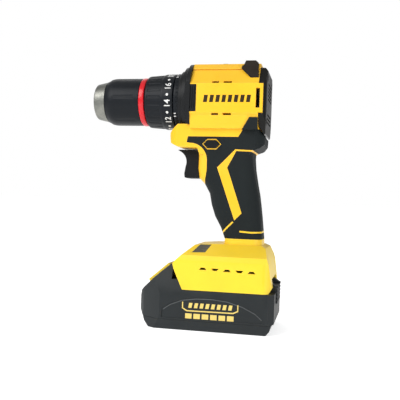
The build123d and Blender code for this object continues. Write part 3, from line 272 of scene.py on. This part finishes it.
# %% Group: dust
dust, d_in, d_out = new_group("dust", [("Vector", VECTOR, None), ("Amount", FLOAT, 0.1)], ["Mask"])
up = add(dust, "ShaderNodeSeparateXYZ", [
    ("Vector", add(dust, "ShaderNodeNewGeometry").outputs["Normal"]),
])
flat = add(dust, "ShaderNodeMapRange", [
    ("Value", up.outputs["Z"]), ("From Min", 0.1), ("From Max", 1.0),
])
cloud = add(dust, "ShaderNodeTexNoise", [
    ("Vector", d_in.outputs["Vector"]), ("Scale", 120.0), ("Detail", 6.0), ("Roughness", 0.65),
])
lying = add(dust, "ShaderNodeMath", [
    (0, flat.outputs["Result"]), (1, cloud.outputs["Fac"]),
], operation="MULTIPLY")
amount = add(dust, "ShaderNodeMath", [
    (0, lying.outputs["Value"]), (1, d_in.outputs["Amount"]),
], operation="MULTIPLY", use_clamp=True)
dust.links.new(amount.outputs["Value"], d_out.inputs["Mask"])
print(dust.name, len(dust.nodes), "nodes")

# %% [markdown]
# ### Turning marks
# A lathe leaves fine rings round a steel part.  A noise that is squeezed hard along X, the axis
# of the lathe, changes quickly along the part and slowly round it, which is that pattern.

# %% Group: turning marks
turning, t_in, t_out = new_group("turning_marks", [("Vector", VECTOR, None)], ["Height", "Shade"])
squeezed = add(turning, "ShaderNodeMapping", [
    ("Vector", t_in.outputs["Vector"]), ("Scale", (6000.0, 60.0, 60.0)),
])
rings = add(turning, "ShaderNodeTexNoise", [
    ("Vector", squeezed.outputs["Vector"]), ("Scale", 1.0), ("Detail", 3.0),
])
stain = add(turning, "ShaderNodeTexNoise", [
    ("Vector", t_in.outputs["Vector"]), ("Scale", 150.0), ("Detail", 5.0),
])
turning.links.new(rings.outputs["Fac"], t_out.inputs["Height"])
turning.links.new(stain.outputs["Fac"], t_out.inputs["Shade"])
print(turning.name, len(turning.nodes), "nodes")

# %% [markdown]
# ## Materials
# One function makes every plastic and rubber and another every metal, because they differ only
# in colour, gloss, grain size and how much they show wear.  Each finish is then one call with
# the values of the real stuff: the handle's soft rubber is dull with a coarse grain, while the
# chuck's nylon sleeve is finer and takes a long soft highlight.

# %% Material builders
DUST_COLOUR = (0.45, 0.42, 0.36, 1.0)
SHINE = 0.40
SHADE_START = 62 * MM      # the painted shade of a plastic starts here
SHADE_FULL = 110 * MM  # and is full here
BLACK_SHINE = 0.18     # carbon black swallows most of what nylon or rubber would reflect


def start_material(name):
    material = bpy.data.materials.new(name)
    material.use_nodes = True
    tree = material.node_tree
    coords = add(tree, "ShaderNodeTexCoord").outputs["Object"]
    return material, tree, tree.nodes["Principled BSDF"], coords


def effect(tree, group, links):
    node = add(tree, "ShaderNodeGroup", node_tree=group)
    for target, source in links:
        if isinstance(source, bpy.types.NodeSocket):
            tree.links.new(source, node.inputs[target])
        else:
            node.inputs[target].default_value = source
    return node


def blend_colour(tree, mask, first, second):
    node = add(tree, "ShaderNodeMix", data_type="RGBA")
    for socket, value in ((node.inputs[0], mask), (node.inputs[6], first), (node.inputs[7], second)):
        if isinstance(value, bpy.types.NodeSocket):
            tree.links.new(value, socket)
        else:
            socket.default_value = value
    return node.outputs[2]


def spread(tree, value, low_end, high_end):
    node = add(tree, "ShaderNodeMapRange", [
        ("Value", value), ("From Min", 0.3), ("From Max", 0.7),
        ("To Min", low_end), ("To Max", high_end),
    ])
    return node.outputs["Result"]


def bump(tree, shader, height, depth):
    node = add(tree, "ShaderNodeBump", [("Height", height), ("Distance", depth), ("Strength", 0.6)])
    tree.links.new(node.outputs["Normal"], shader.inputs["Normal"])


def plastic(
    name, colour, shade, gloss, grain_scale, grain_depth, wear_amount, worn, dust_amount, high=None
):
    """Moulded plastic or rubber; `high` is a shaded copy of the colour that takes over higher up the part
    as painted shade.
    """
    material, tree, shader, coords = start_material(name)
    texture = effect(tree, grain, [("Vector", coords), ("Scale", grain_scale)])
    rubbed = effect(tree, wear, [("Vector", coords), ("Amount", wear_amount)])
    dusty = effect(tree, dust, [("Vector", coords), ("Amount", dust_amount)])
    base = (*colour, 1.0)
    # Painted shade: higher up the part the colour darkens towards the shaded copy in `high`.
    if high:
        height = add(tree, "ShaderNodeSeparateXYZ", [("Vector", coords)]).outputs["Z"]
        shade_climb = add(tree, "ShaderNodeMapRange", [
            ("Value", height), ("From Min", SHADE_START), ("From Max", SHADE_FULL),
        ])
        base = blend_colour(tree, shade_climb.outputs["Result"], base, (*high, 1.0))
    mottled = blend_colour(tree, spread(tree, texture.outputs["Mottle"], 0.0, shade), base, (0, 0, 0, 1))
    with_wear = blend_colour(tree, rubbed.outputs["Mask"], mottled, (*worn, 1.0))
    with_dust = blend_colour(tree, dusty.outputs["Mask"], with_wear, DUST_COLOUR)
    tree.links.new(with_dust, shader.inputs["Base Color"])
    sheen = spread(tree, texture.outputs["Mottle"], gloss + 0.05, gloss - 0.05)
    tree.links.new(sheen, shader.inputs["Roughness"])
    shader.inputs["Specular IOR Level"].default_value = BLACK_SHINE if max(colour) < 0.05 else SHINE
    bump(tree, shader, texture.outputs["Height"], grain_depth)
    return material


def metal(name, colour, tint, gloss, depth, wear_amount=0.4, metallic=1.0):
    material, tree, shader, coords = start_material(name)
    marks = effect(tree, turning, [("Vector", coords)])
    rubbed = effect(tree, wear, [("Vector", coords), ("Amount", wear_amount)])
    stained = blend_colour(tree, spread(tree, marks.outputs["Shade"], 0.0, 1.0), (*colour, 1), (*tint, 1))
    bright = tuple(min(1.0, 1.5 * c + 0.05) for c in colour)
    with_wear = blend_colour(tree, rubbed.outputs["Mask"], stained, (*bright, 1))
    tree.links.new(with_wear, shader.inputs["Base Color"])
    roughness = spread(tree, marks.outputs["Shade"], gloss - 0.06, gloss + 0.08)
    tree.links.new(roughness, shader.inputs["Roughness"])
    shader.inputs["Metallic"].default_value = metallic
    bump(tree, shader, marks.outputs["Height"], depth)
    return material


print("builders ready")

# %% [markdown]
# ### Plastics and rubber
# The shell is one yellow moulding that reads lemon on the broad, well lit foot and amber on the
# head, where less light falls, so its colour is painted to drift with height: painted shade on the head.
# The blacks are all different: the grip is a greenish black rubber, the chuck a blue black nylon, the
# battery a charcoal with a brown black panel.

# %% Make the plastics
# Lit and shaded copies of the one yellow: the lemon is the lit foot, the amber is painted shade on the
# head.
LIT_LEMON = (0.90, 0.64, 0.022)
SHADED_AMBER = (0.90, 0.50, 0.010)
finishes = {
    "yellow_shell": plastic(
        "yellow_shell", LIT_LEMON, 0.07, 0.38, 2600.0, 0.00003, 0.35, (0.96, 0.80, 0.30), 0.10, high=SHADED_AMBER
    ),
    "grip_rubber": plastic(
        "grip_rubber", (0.009, 0.013, 0.014), 0.25, 0.66, 1500.0, 0.00012, 0.3, (0.035, 0.042, 0.042), 0.04
    ),
    "black_plastic": plastic(
        "black_plastic", (0.006, 0.007, 0.008), 0.25, 0.44, 2200.0, 0.00004, 0.4, (0.04, 0.04, 0.04), 0.03
    ),
    "chuck_plastic": plastic(
        "chuck_plastic", (0.004, 0.006, 0.009), 0.2, 0.42, 2200.0, 0.00004, 0.35, (0.03, 0.035, 0.04), 0.02
    ),
    "red_plastic": plastic(
        "red_plastic", (0.62, 0.006, 0.014), 0.1, 0.25, 2600.0, 0.00002, 0.3, (0.8, 0.12, 0.1), 0.05
    ),
    "pack_plastic": plastic(
        "pack_plastic", (0.021, 0.025, 0.027), 0.2, 0.46, 1800.0, 0.00006, 0.4, (0.05, 0.055, 0.055), 0.04
    ),
    "latch_yellow": plastic(
        "latch_yellow", (0.92, 0.66, 0.05), 0.06, 0.35, 2600.0, 0.00003, 0.4, (0.96, 0.82, 0.4), 0.1
    ),
    "board_green": plastic(
        "board_green", (0.01, 0.10, 0.03), 0.2, 0.35, 900.0, 0.00004, 0.2, (0.2, 0.3, 0.2), 0.05
    ),
    "wire_jacket": plastic(
        "wire_jacket", (0.35, 0.01, 0.01), 0.15, 0.4, 3000.0, 0.00002, 0.1, (0.5, 0.1, 0.1), 0.05
    ),
    "cell_wrap": plastic(
        "cell_wrap", (0.02, 0.10, 0.30), 0.1, 0.25, 1200.0, 0.00002, 0.2, (0.3, 0.4, 0.5), 0.03
    ),
    "gauge_plastic": plastic(
        "gauge_plastic", (0.10, 0.105, 0.085), 0.5, 0.28, 900.0, 0.00005, 0.3, (0.2, 0.22, 0.18), 0.15
    ),
}
bumper_black = plastic(
    "bumper_black", (0.014, 0.009, 0.006), 0.2, 0.50, 1800.0, 0.00006, 0.4, (0.07, 0.06, 0.05), 0.06
)
cap_black = plastic(
    "cap_black", (0.006, 0.006, 0.005), 0.2, 0.28, 2200.0, 0.00003, 0.5, (0.07, 0.07, 0.065), 0.03
)
panel_black = plastic(
    "panel_black", (0.007, 0.005, 0.004), 0.25, 0.52, 1500.0, 0.00007, 0.2, (0.03, 0.03, 0.03), 0.02
)
# A lighter black for the painted highlight along the battery panel's upper rim.
rim_highlight_black = plastic(
    "rim_highlight_black", (0.085, 0.095, 0.100), 0.5, 0.45, 1500.0, 0.00007, 0.3, (0.12, 0.13, 0.13), 0.05
)
print(len(finishes) + 4, "plastics")

# %% [markdown]
# ### Metals, paint and glass
# The chuck's nose is bare steel, dulled by handling.  The gears are darker, the clutch housing
# is die cast and grainy, the windings are enamelled copper.  Print on the rings is white paint.
# The lamp's lens is a clear plastic with plain transmission.

# %% Make the metals and the lens
finishes.update({
    "bare_steel": metal("bare_steel", (0.25, 0.25, 0.225), (0.17, 0.175, 0.16), 0.42, 0.00003),
    "gear_steel": metal("gear_steel", (0.30, 0.30, 0.31), (0.20, 0.20, 0.22), 0.32, 0.00002),
    "bearing_steel": metal("bearing_steel", (0.62, 0.62, 0.63), (0.50, 0.50, 0.52), 0.15, 0.00001),
    "spring_steel": metal("spring_steel", (0.42, 0.41, 0.38), (0.30, 0.28, 0.25), 0.30, 0.00001),
    "case_screw_steel": metal("case_screw_steel", (0.55, 0.55, 0.53), (0.42, 0.42, 0.40), 0.28, 0.00002),
    "die_cast_alloy": metal("die_cast_alloy", (0.42, 0.43, 0.45), (0.30, 0.31, 0.33), 0.50, 0.00006),
    "stator_steel": metal("stator_steel", (0.16, 0.16, 0.17), (0.10, 0.10, 0.11), 0.45, 0.00003),
    "copper": metal("copper", (0.62, 0.22, 0.08), (0.40, 0.11, 0.04), 0.28, 0.00002),
})
white_print = plastic(
    "white_print", (0.74, 0.74, 0.72), 0.12, 0.5, 3000.0, 0.00001, 0.1, (0.5, 0.5, 0.5), 0.1
)
frame_print = plastic(
    "frame_print", (0.80, 0.60, 0.16), 0.12, 0.5, 3000.0, 0.00001, 0.1, (0.5, 0.4, 0.2), 0.05
)
dark_print = plastic(
    "dark_print", (0.030, 0.020, 0.006), 0.12, 0.45, 3000.0, 0.00001, 0.1, (0.2, 0.15, 0.05), 0.05
)
lens, lens_tree, lens_shader, lens_coords = start_material("clear_lens")
lens_grain = effect(lens_tree, grain, [("Vector", lens_coords), ("Scale", 400.0)])
lens_shader.inputs["Base Color"].default_value = (0.92, 0.95, 0.98, 1.0)
lens_shader.inputs["Transmission Weight"].default_value = 0.9
lens_haze = spread(lens_tree, lens_grain.outputs["Mottle"], 0.08, 0.18)
lens_tree.links.new(lens_haze, lens_shader.inputs["Roughness"])
bump(lens_tree, lens_shader, lens_grain.outputs["Height"], 0.0001)
finishes["clear_lens"] = lens

paper, paper_tree, paper_shader, paper_coords = start_material("pale_floor")
paper_grain = effect(paper_tree, grain, [("Vector", paper_coords), ("Scale", 300.0)])
paper_clouds = spread(paper_tree, paper_grain.outputs["Mottle"], 0.0, 1.0)
paper_white = blend_colour(paper_tree, paper_clouds, (0.90, 0.90, 0.90, 1), (0.87, 0.87, 0.87, 1))
paper_tree.links.new(paper_white, paper_shader.inputs["Base Color"])
paper_shader.inputs["Roughness"].default_value = 0.7
paper_shader.inputs["Emission Color"].default_value = (1.0, 1.0, 1.0, 1.0)
paper_shader.inputs["Emission Strength"].default_value = 0.66
floor.data.materials.append(paper)
print(len(bpy.data.materials), "materials")

# %% [markdown]
# ## Dress the CAD parts
# The record names a finish for every part.  Parts whose shape is already right, which is all
# the gears, bearings, springs and electrics inside, keep their CAD mesh and take that finish.

# %% Give every CAD part its finish
slot_of = {part["node"]: part["material_slot"] for part in frame["record"]["subparts"]}
for name, item in nodes.items():
    item.data.materials.clear()
    item.data.materials.append(finishes[slot_of[name]])
print(len(slot_of), "parts dressed with", len(set(slot_of.values())), "finishes")

# %% [markdown]
# ## Rounded shells
# A moulded part has no sharp edges: the mould's cutter and the draw of the plastic round every
# one by about half a millimetre, and that thin round catches a line of light.  The CAD mesh is
# loose triangles, so a copy is merged, its flat areas become single faces, and a bevel on the
# sharp edges does the rounding.  Weighted normals then keep the flat faces looking flat.

# %% Round the edges of the mouldings
MERGE = 2e-6
FLAT = math.radians(0.6)
SHARP = math.radians(26)


def adopt(item, material, *replaced, body=None, slot=None):
    """Link a finished piece to the body of the CAD part that it stands for."""
    scene.collection.objects.link(item)
    item.data.materials.clear()
    item.data.materials.append(material)
    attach(item, body or nodes[replaced[0]]["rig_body"])
    if replaced:
        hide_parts(*replaced)
    return item


def smooth_faces(mesh):
    mesh.polygons.foreach_set("use_smooth", [True] * len(mesh.polygons))


def rounded_shell(node, material=None, width=0.5 * MM, segments=2):
    bm = bmesh.new()
    bm.from_mesh(nodes[node].data)
    bmesh.ops.remove_doubles(bm, verts=bm.verts, dist=MERGE)
    bmesh.ops.dissolve_limit(bm, angle_limit=FLAT, verts=bm.verts, edges=bm.edges)
    mesh = bpy.data.meshes.new(node + "_moulding")
    bm.to_mesh(mesh)
    open_edges = sum(not e.is_manifold for e in bm.edges)
    bm.free()
    smooth_faces(mesh)
    item = bpy.data.objects.new(node + "_moulding", mesh)
    round_edges = item.modifiers.new("rounding", "BEVEL")
    round_edges.width = width
    round_edges.segments = segments
    round_edges.limit_method = "ANGLE"
    round_edges.angle_limit = SHARP
    round_edges.use_clamp_overlap = True
    flat_faces = item.modifiers.new("flat_faces", "WEIGHTED_NORMAL")
    flat_faces.keep_sharp = False
    flat_faces.weight = 80
    adopt(item, material or finishes[slot_of[node]], node)
    return item, open_edges


mouldings = {
    "left_housing": (None, 0.5 * MM),
    "right_housing": (None, 0.5 * MM),
    "left_overmold": (None, 0.4 * MM),
    "right_overmold": (None, 0.4 * MM),
    "rear_cap": (cap_black, 0.6 * MM),
    "top_bumper": (bumper_black, 0.6 * MM),
    "front_collar": (None, 0.35 * MM),
    "trigger": (None, 0.7 * MM),
    "direction_selector": (None, 0.4 * MM),
    "speed_selector": (None, 0.4 * MM),
    "gauge_window": (None, 0.3 * MM),
    "battery_top_case": (None, 0.7 * MM),
    "battery_bottom_case": (None, 0.7 * MM),
    "battery_latch": (None, 0.5 * MM),
    "chuck_body": (None, 0.3 * MM),
}
for node, (material, width) in mouldings.items():
    item, open_edges = rounded_shell(node, material, width)
    print(node, len(item.data.polygons), "faces,", open_edges, "open edges")

# %% [markdown]
# ## Rings that a hand turns
# The chuck sleeve, its red ring, the torque ring and the mode ring are bodies of revolution, so
# each is spun from a closed profile of (x, radius) points.  Spinning gives clean rows of faces
# along the axis, and ribs are then cut by insetting whole faces of one row and sinking them.

# %% Spin helper
STEPS = 120


def spun(profile):
    """Closed ring from a closed (x, radius) profile, spun once about the spindle axis."""
    bm = bmesh.new()
    points = [bm.verts.new((x, 0.0, AXIS_Z + r)) for x, r in profile]
    rim = [bm.edges.new(pair) for pair in zip(points, points[1:] + points[:1])]
    bmesh.ops.spin(
        bm, geom=points + rim, cent=AXIS_POINT, axis=(1, 0, 0), dvec=(0, 0, 0),
        angle=2 * math.pi, steps=STEPS, use_merge=True, use_duplicate=False,
    )
    bmesh.ops.remove_doubles(bm, verts=bm.verts, dist=MERGE)
    bmesh.ops.recalc_face_normals(bm, faces=bm.faces)
    return bm


def column(face):
    """Which of the spin's steps a face belongs to."""
    centre = face.calc_center_median()
    angle = math.atan2(centre.y, centre.z - AXIS_Z) % (2 * math.pi)
    return int(angle / (2 * math.pi) * STEPS)


def row(bm, x0, x1, radius):
    """Outward faces whose middle lies between x0 and x1 and further out than radius."""
    found = []
    for face in bm.faces:
        centre = face.calc_center_median()
        if x0 < centre.x < x1 and math.hypot(centre.y, centre.z - AXIS_Z) > radius:
            found.append(face)
    return found


def sink(bm, faces, every, wide, margin, depth):
    """Sink the first `wide` faces of every group of `every` columns, joined into one groove."""
    chosen = [face for face in faces if column(face) % every < wide]
    bmesh.ops.inset_region(bm, faces=chosen, thickness=margin, depth=-depth, use_even_offset=True)


def ring_piece(name, bm, node, width=0.25 * MM, angle=30):
    mesh = bpy.data.meshes.new(name)
    bm.to_mesh(mesh)
    bm.free()
    smooth_faces(mesh)
    item = bpy.data.objects.new(name, mesh)
    edges = item.modifiers.new("rounding", "BEVEL")
    edges.width = width
    edges.segments = 2
    edges.limit_method = "ANGLE"
    edges.angle_limit = math.radians(angle)
    normals = item.modifiers.new("flat_faces", "WEIGHTED_NORMAL")
    normals.weight = 60
    adopt(item, finishes[slot_of[node]], node)
    print(name, len(mesh.polygons), "faces")
    return item


print("spin in", STEPS, "steps")

# %% [markdown]
# ### Chuck sleeve and red ring
# The sleeve is a nylon cup with a tapered front and shallow finger flats.  It stays inside the
# CAD sleeve's box, and its bore repeats the CAD one, so the jaws' nut still has its room.

# %% Spin the sleeve and its ring
sleeve_low, sleeve_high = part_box("chuck_sleeve")
red_low, red_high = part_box("chuck_ring")
nut_low, nut_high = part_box("chuck_nut")
nose_low, nose_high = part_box("chuck_body")
SLEEVE_R = (sleeve_high.y - sleeve_low.y) / 2
RED_R = (red_high.y - red_low.y) / 2
BORE_R = (nut_high.y - nut_low.y) / 2 + 0.1 * MM
BODY_R = (nose_high.y - nose_low.y) / 2 - 1.1 * MM
bm = spun([
    (sleeve_low.x, BODY_R + 0.4 * MM),
    (sleeve_low.x, BODY_R + 1.5 * MM),
    (sleeve_low.x + 1.2 * MM, SLEEVE_R - 2.2 * MM),
    (sleeve_low.x + 3.6 * MM, SLEEVE_R - 0.7 * MM),
    (sleeve_low.x + 6.4 * MM, SLEEVE_R - 0.1 * MM),
    (sleeve_low.x + 9.0 * MM, SLEEVE_R),
    (red_low.x - 4.5 * MM, SLEEVE_R),
    (red_low.x - 0.4 * MM, SLEEVE_R),
    (red_low.x - 0.1 * MM, SLEEVE_R - 0.3 * MM),
    (red_low.x - 0.1 * MM, SLEEVE_R - 0.9 * MM),
    (sleeve_high.x, SLEEVE_R - 0.9 * MM),
    (sleeve_high.x, BODY_R + 1.0 * MM),
    (red_low.x + 2.0 * MM, BODY_R + 0.2 * MM),
    (red_low.x - 2.0 * MM, BODY_R + 0.2 * MM),
    (red_low.x - 2.0 * MM, BORE_R),
    (sleeve_low.x + 4.0 * MM, BORE_R),
    (sleeve_low.x + 2.0 * MM, BODY_R + 0.4 * MM),
])
flats = row(bm, sleeve_low.x + 9 * MM, red_low.x - 5 * MM, SLEEVE_R - 0.2 * MM)
sink(bm, flats, every=10, wide=3, margin=0.5 * MM, depth=0.2 * MM)
ring_piece("sleeve_spun", bm, "chuck_sleeve")
bm = spun([
    (red_low.x, SLEEVE_R - 0.9 * MM),
    (red_low.x, RED_R - 0.6 * MM),
    (red_low.x + 0.5 * MM, RED_R - 0.15 * MM),
    (red_low.x + 1.4 * MM, RED_R),
    (red_high.x - 1.4 * MM, RED_R),
    (red_high.x - 0.5 * MM, RED_R - 0.15 * MM),
    (red_high.x, RED_R - 0.6 * MM),
    (red_high.x, SLEEVE_R - 0.9 * MM),
])
ring_piece("red_ring_spun", bm, "chuck_ring")

# %% [markdown]
# ### Mode ring and its marks
# The mode ring sits behind the numbers.  A thumb turns it, so it carries short ribs, and small
# white marks show drilling, hammer and driving.  Here the marks are plain bars.

# %% Spin the mode ring
mode_low, mode_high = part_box("mode_ring")
MODE_R = (mode_high.y - mode_low.y) / 2
MODE_BORE = 23.5 * MM      # clears the gear case, which is 46.4 mm across
bm = spun([
    (mode_low.x, MODE_BORE),
    (mode_low.x, MODE_R - 0.6 * MM),
    (mode_low.x + 0.6 * MM, MODE_R),
    (mode_low.x + 2.4 * MM, MODE_R),
    (mode_high.x - 1.4 * MM, MODE_R),
    (mode_high.x, MODE_R),
    (mode_high.x, MODE_BORE),
])
ribs = row(bm, mode_low.x + 2.4 * MM, mode_high.x - 1.4 * MM, MODE_R - 0.2 * MM)
sink(bm, ribs, every=3, wide=1, margin=0.25 * MM, depth=0.4 * MM)
ring_piece("mode_ring_spun", bm, "mode_ring")

# %% [markdown]
# ### Torque ring
# The torque ring has a ribbed skirt in front and a smooth numbered band behind.  The keyways
# inside are hidden, so the bore is plain.

# %% Spin the torque ring
TORQUE_R = (ring_high.y - ring_low.y) / 2
FRONT_R = TORQUE_R - 1.6 * MM
TUBE_R = 14.6 * MM
INNER_R = 22.4 * MM
bm = spun([
    (ring_low.x, TUBE_R),
    (ring_low.x, FRONT_R - 1.2 * MM),
    (ring_low.x + 0.8 * MM, FRONT_R - 0.2 * MM),
    (ring_low.x + 2.4 * MM, FRONT_R),
    (ring_low.x + 14.5 * MM, TORQUE_R - 0.8 * MM),
    (ring_low.x + 15.5 * MM, TORQUE_R - 0.4 * MM),
    (ring_low.x + 17.0 * MM, TORQUE_R),
    (ring_high.x - 0.6 * MM, TORQUE_R),
    (ring_high.x, TORQUE_R - 0.6 * MM),
    (ring_high.x, INNER_R),
    (ring_low.x + 3.4 * MM, INNER_R),
    (ring_low.x + 3.4 * MM, TUBE_R),
])
skirt = row(bm, ring_low.x + 2.4 * MM, ring_low.x + 14.4 * MM, FRONT_R - 0.2 * MM)
sink(bm, skirt, every=5, wide=2, margin=0.3 * MM, depth=0.3 * MM)
ring_piece("torque_ring_spun", bm, "torque_ring")

# %% [markdown]
# ### Numbers on the torque ring
# The settings are printed round the band and read upwards on the near side, with a dot between
# each two.  Each number is made as flat text, turned into a mesh, and its points are then wrapped
# round the ring: a point's height on the line becomes a place along the axis, and its distance
# along the line becomes an angle.

# %% Wrap the numbers
PRINT_PROUD = 0.04 * MM
PRINT_THICK = 0.08 * MM
DIGIT_HEIGHT = 5.4 * MM
LETTER_X = ring_high.x - 2.3 * MM
FIRST_ANGLE = math.radians(-11.0)
STEP_ANGLE = math.radians(36.0)


def wrap(bm, radius, base_x, base_angle):
    """Bend flat work round a ring: its x becomes an angle, its y a place along the axis."""
    for vert in bm.verts:
        angle = base_angle + vert.co.x / radius
        out = radius + vert.co.z
        vert.co = Vector((base_x - vert.co.y, -out * math.cos(angle), AXIS_Z + out * math.sin(angle)))


def number_mesh(text, height):
    """Flat number as a bmesh, centred on x, standing on y = 0, with thickness in z."""
    curve = bpy.data.curves.new("number_" + text, "FONT")
    curve.body = text
    curve.size = height * 1.38
    curve.align_x = "CENTER"
    curve.extrude = PRINT_THICK / 2
    curve.offset = 0.10 * MM
    source = bpy.data.objects.new("number_" + text, curve)
    mesh = bpy.data.meshes.new_from_object(source)
    bm = bmesh.new()
    bm.from_mesh(mesh)
    bpy.data.objects.remove(source)
    bpy.data.curves.remove(curve)
    bpy.data.meshes.remove(mesh)
    bmesh.ops.translate(bm, verts=bm.verts, vec=(0, 0, PRINT_THICK / 2 + PRINT_PROUD))
    return bm


def dot_mesh(radius):
    bm = bmesh.new()
    bmesh.ops.create_cone(
        bm, cap_ends=True, segments=24, radius1=radius, radius2=radius, depth=PRINT_THICK,
        matrix=Matrix.Translation((0, DIGIT_HEIGHT / 2, PRINT_THICK / 2 + PRINT_PROUD)),
    )
    return bm


def merge_into(target, part):
    mesh = bpy.data.meshes.new("part")
    part.to_mesh(mesh)
    part.free()
    target.from_mesh(mesh)
    bpy.data.meshes.remove(mesh)


def printed(name, bm, material, body, slot):
    bmesh.ops.remove_doubles(bm, verts=bm.verts, dist=MERGE)
    bmesh.ops.recalc_face_normals(bm, faces=bm.faces)
    mesh = bpy.data.meshes.new(name)
    bm.to_mesh(mesh)
    bm.free()
    item = bpy.data.objects.new(name, mesh)
    adopt(item, material, body=body, slot=slot)
    print(name, len(mesh.polygons), "faces")


numbers = bmesh.new()
for index in range(9):
    part = number_mesh(str(2 * index + 2), DIGIT_HEIGHT)
    wrap(part, TORQUE_R, LETTER_X, FIRST_ANGLE + STEP_ANGLE * (index - 6))
    merge_into(numbers, part)
    part = dot_mesh(1.15 * MM)
    wrap(part, TORQUE_R, LETTER_X, FIRST_ANGLE + STEP_ANGLE * (index - 5.5))
    merge_into(numbers, part)
printed("torque_numbers", numbers, white_print, nodes["torque_ring"]["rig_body"], "chuck_plastic")

# %% Mark the mode ring
MARK_LENGTH = 1.8 * MM
marks = bmesh.new()
for angle in (-37, -31, 51, 57, 140, 146):
    part = bmesh.new()
    place = Vector((0, MARK_LENGTH / 2, PRINT_THICK / 2 + PRINT_PROUD))
    size = Vector((MARK_LENGTH / 2, MARK_LENGTH, PRINT_THICK))
    bmesh.ops.create_cube(part, size=1.0, matrix=Matrix.LocRotScale(place, None, size))
    wrap(part, MODE_R, mode_low.x + 2.2 * MM, math.radians(angle))
    merge_into(marks, part)
printed("mode_marks", marks, white_print, nodes["mode_ring"]["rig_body"], "chuck_plastic")

# %% [markdown]
# ## Plates and prints on the flat sides
# Raised or printed flat shapes all come from one helper: a single face with the wanted outline
# in the XZ plane, extruded sideways into a thin plate.

# %% Plate helper
def plate(bm, outline, y0, y1):
    """Thin plate with an outline of (x, z) points, from y0 to y1."""
    face = bm.faces.new([bm.verts.new((x * MM, y0, z * MM)) for x, z in outline])
    grown = bmesh.ops.extrude_face_region(bm, geom=[face])
    moved = [part for part in grown["geom"] if isinstance(part, bmesh.types.BMVert)]
    bmesh.ops.translate(bm, verts=moved, vec=(0, y1 - y0, 0))


def both_sides(bm):
    """Repeat what is modelled on the near side on the far one."""
    bmesh.ops.mirror(bm, geom=bm.verts[:] + bm.edges[:] + bm.faces[:], axis="Y", merge_dist=0.0)


print("plate helper ready")

# %% [markdown]
# ### Battery label
# The battery's dark side panel carries an open, pale yellow outline with a row of plain slanted
# bars in it and a longer bar below.  The bars stand where a maker would print a name.

# %% Print the battery label
pack_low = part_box("battery_top_case")[0]
panel_y = pack_low.y + 0.8 * MM
label_y = panel_y - 0.12 * MM
label_root_y = panel_y + 0.05 * MM
bm = bmesh.new()
plate(bm, [
    (7.6, 24.8), (8.5, 24.8), (8.5, 19.9), (12.0, 17.9), (51.4, 18.2), (55.0, 19.9),
    (55.0, 24.8), (55.9, 24.8), (55.9, 19.2), (51.7, 17.2), (11.7, 16.9), (7.6, 19.3),
], label_root_y, label_y)
for index in range(8):
    x = 13.0 + 4.9 * index
    bar = [(x, 20.0), (x + 2.9, 20.0), (x + 3.7, 24.2), (x + 0.8, 24.2)]
    plate(bm, bar, label_root_y, label_y)
both_sides(bm)
printed("battery_label", bm, frame_print, nodes["battery_top_case"]["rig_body"], "latch_yellow")
bm = bmesh.new()
for index in range(6):
    x = 10.6 + 7.2 * index
    plate(bm, [(x, 10.9), (x + 5.6, 10.9), (x + 5.6, 15.2), (x, 15.2)], label_root_y, label_y)
both_sides(bm)
printed("battery_bars", bm, frame_print, nodes["battery_top_case"]["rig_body"], "latch_yellow")

# %% [markdown]
# ### Dark battery panel
# The side of the battery is a lens-shaped dark panel, a little rougher than the charcoal case
# round it.  It is one thin plate that lies in the CAD recess.  Along its upper rim a narrow strip
# of a lighter black is a painted highlight, where that edge catches the light.

# %% Lay the dark panel
PANEL_TOP = [
    (-9.2, 17.6), (-2.8, 22.2), (7.6, 26.3), (19.0, 28.1), (33.0, 28.5),
    (46.2, 27.3), (59.0, 23.8), (70.0, 18.6), (75.6, 13.8),
]
RIM_WIDTH = 0.8        # in millimetres, as the outlines are
bm = bmesh.new()
plate(bm, [(-9.6, 11.4)] + PANEL_TOP + [(75.6, 11.4)], panel_y + 0.1 * MM, panel_y + 0.01 * MM)
both_sides(bm)
printed("battery_panel", bm, panel_black, nodes["battery_top_case"]["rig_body"], "pack_plastic")

# %% Paint a highlight along its upper rim
# The strip of lighter black along the rim is a painted highlight.
bm = bmesh.new()
for (x0, z0), (x1, z1) in zip(PANEL_TOP, PANEL_TOP[1:]):
    strip = [(x0, z0 - RIM_WIDTH), (x1, z1 - RIM_WIDTH), (x1, z1), (x0, z0)]
    plate(bm, strip, label_root_y, panel_y - 0.05 * MM)
both_sides(bm)
printed("battery_rim_highlight", bm, rim_highlight_black, nodes["battery_top_case"]["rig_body"], "pack_plastic")

# %% [markdown]
# ### Head panel
# A row of dark slanted bars takes the place of a name on the head's side panel.  Their
# places are in millimetres.

# %% Print the head panel
side_y = -31.0 * MM
bm = bmesh.new()
for index in range(8):
    x = 18.6 + 5.3 * index
    bar = [(x, 195.9), (x + 3.3, 195.9), (x + 4.2, 202.1), (x + 0.9, 202.1)]
    plate(bm, bar, side_y + 0.05 * MM, side_y - 0.08 * MM)
both_sides(bm)
printed("head_bars", bm, dark_print, nodes["left_housing"]["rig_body"], "black_plastic")


# %% [markdown]
# ## Springs
# The clutch spring is pressed by its nut as the torque ring turns, and the return spring by the
# trigger.  Each gets a copy of its CAD mesh as a piece of its own, and its joint and travel are listed.

# %% Copy the springs
travel_of = {"clutch_spring": ("torque_turn", 6.9 * MM), "trigger_spring": ("trigger_pull", 8.0 * MM)}
for node, (joint, travel) in travel_of.items():
    spring = bpy.data.objects.new(node + "_wound", nodes[node].data.copy())
    adopt(spring, finishes[slot_of[node]], node)
    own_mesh(spring)
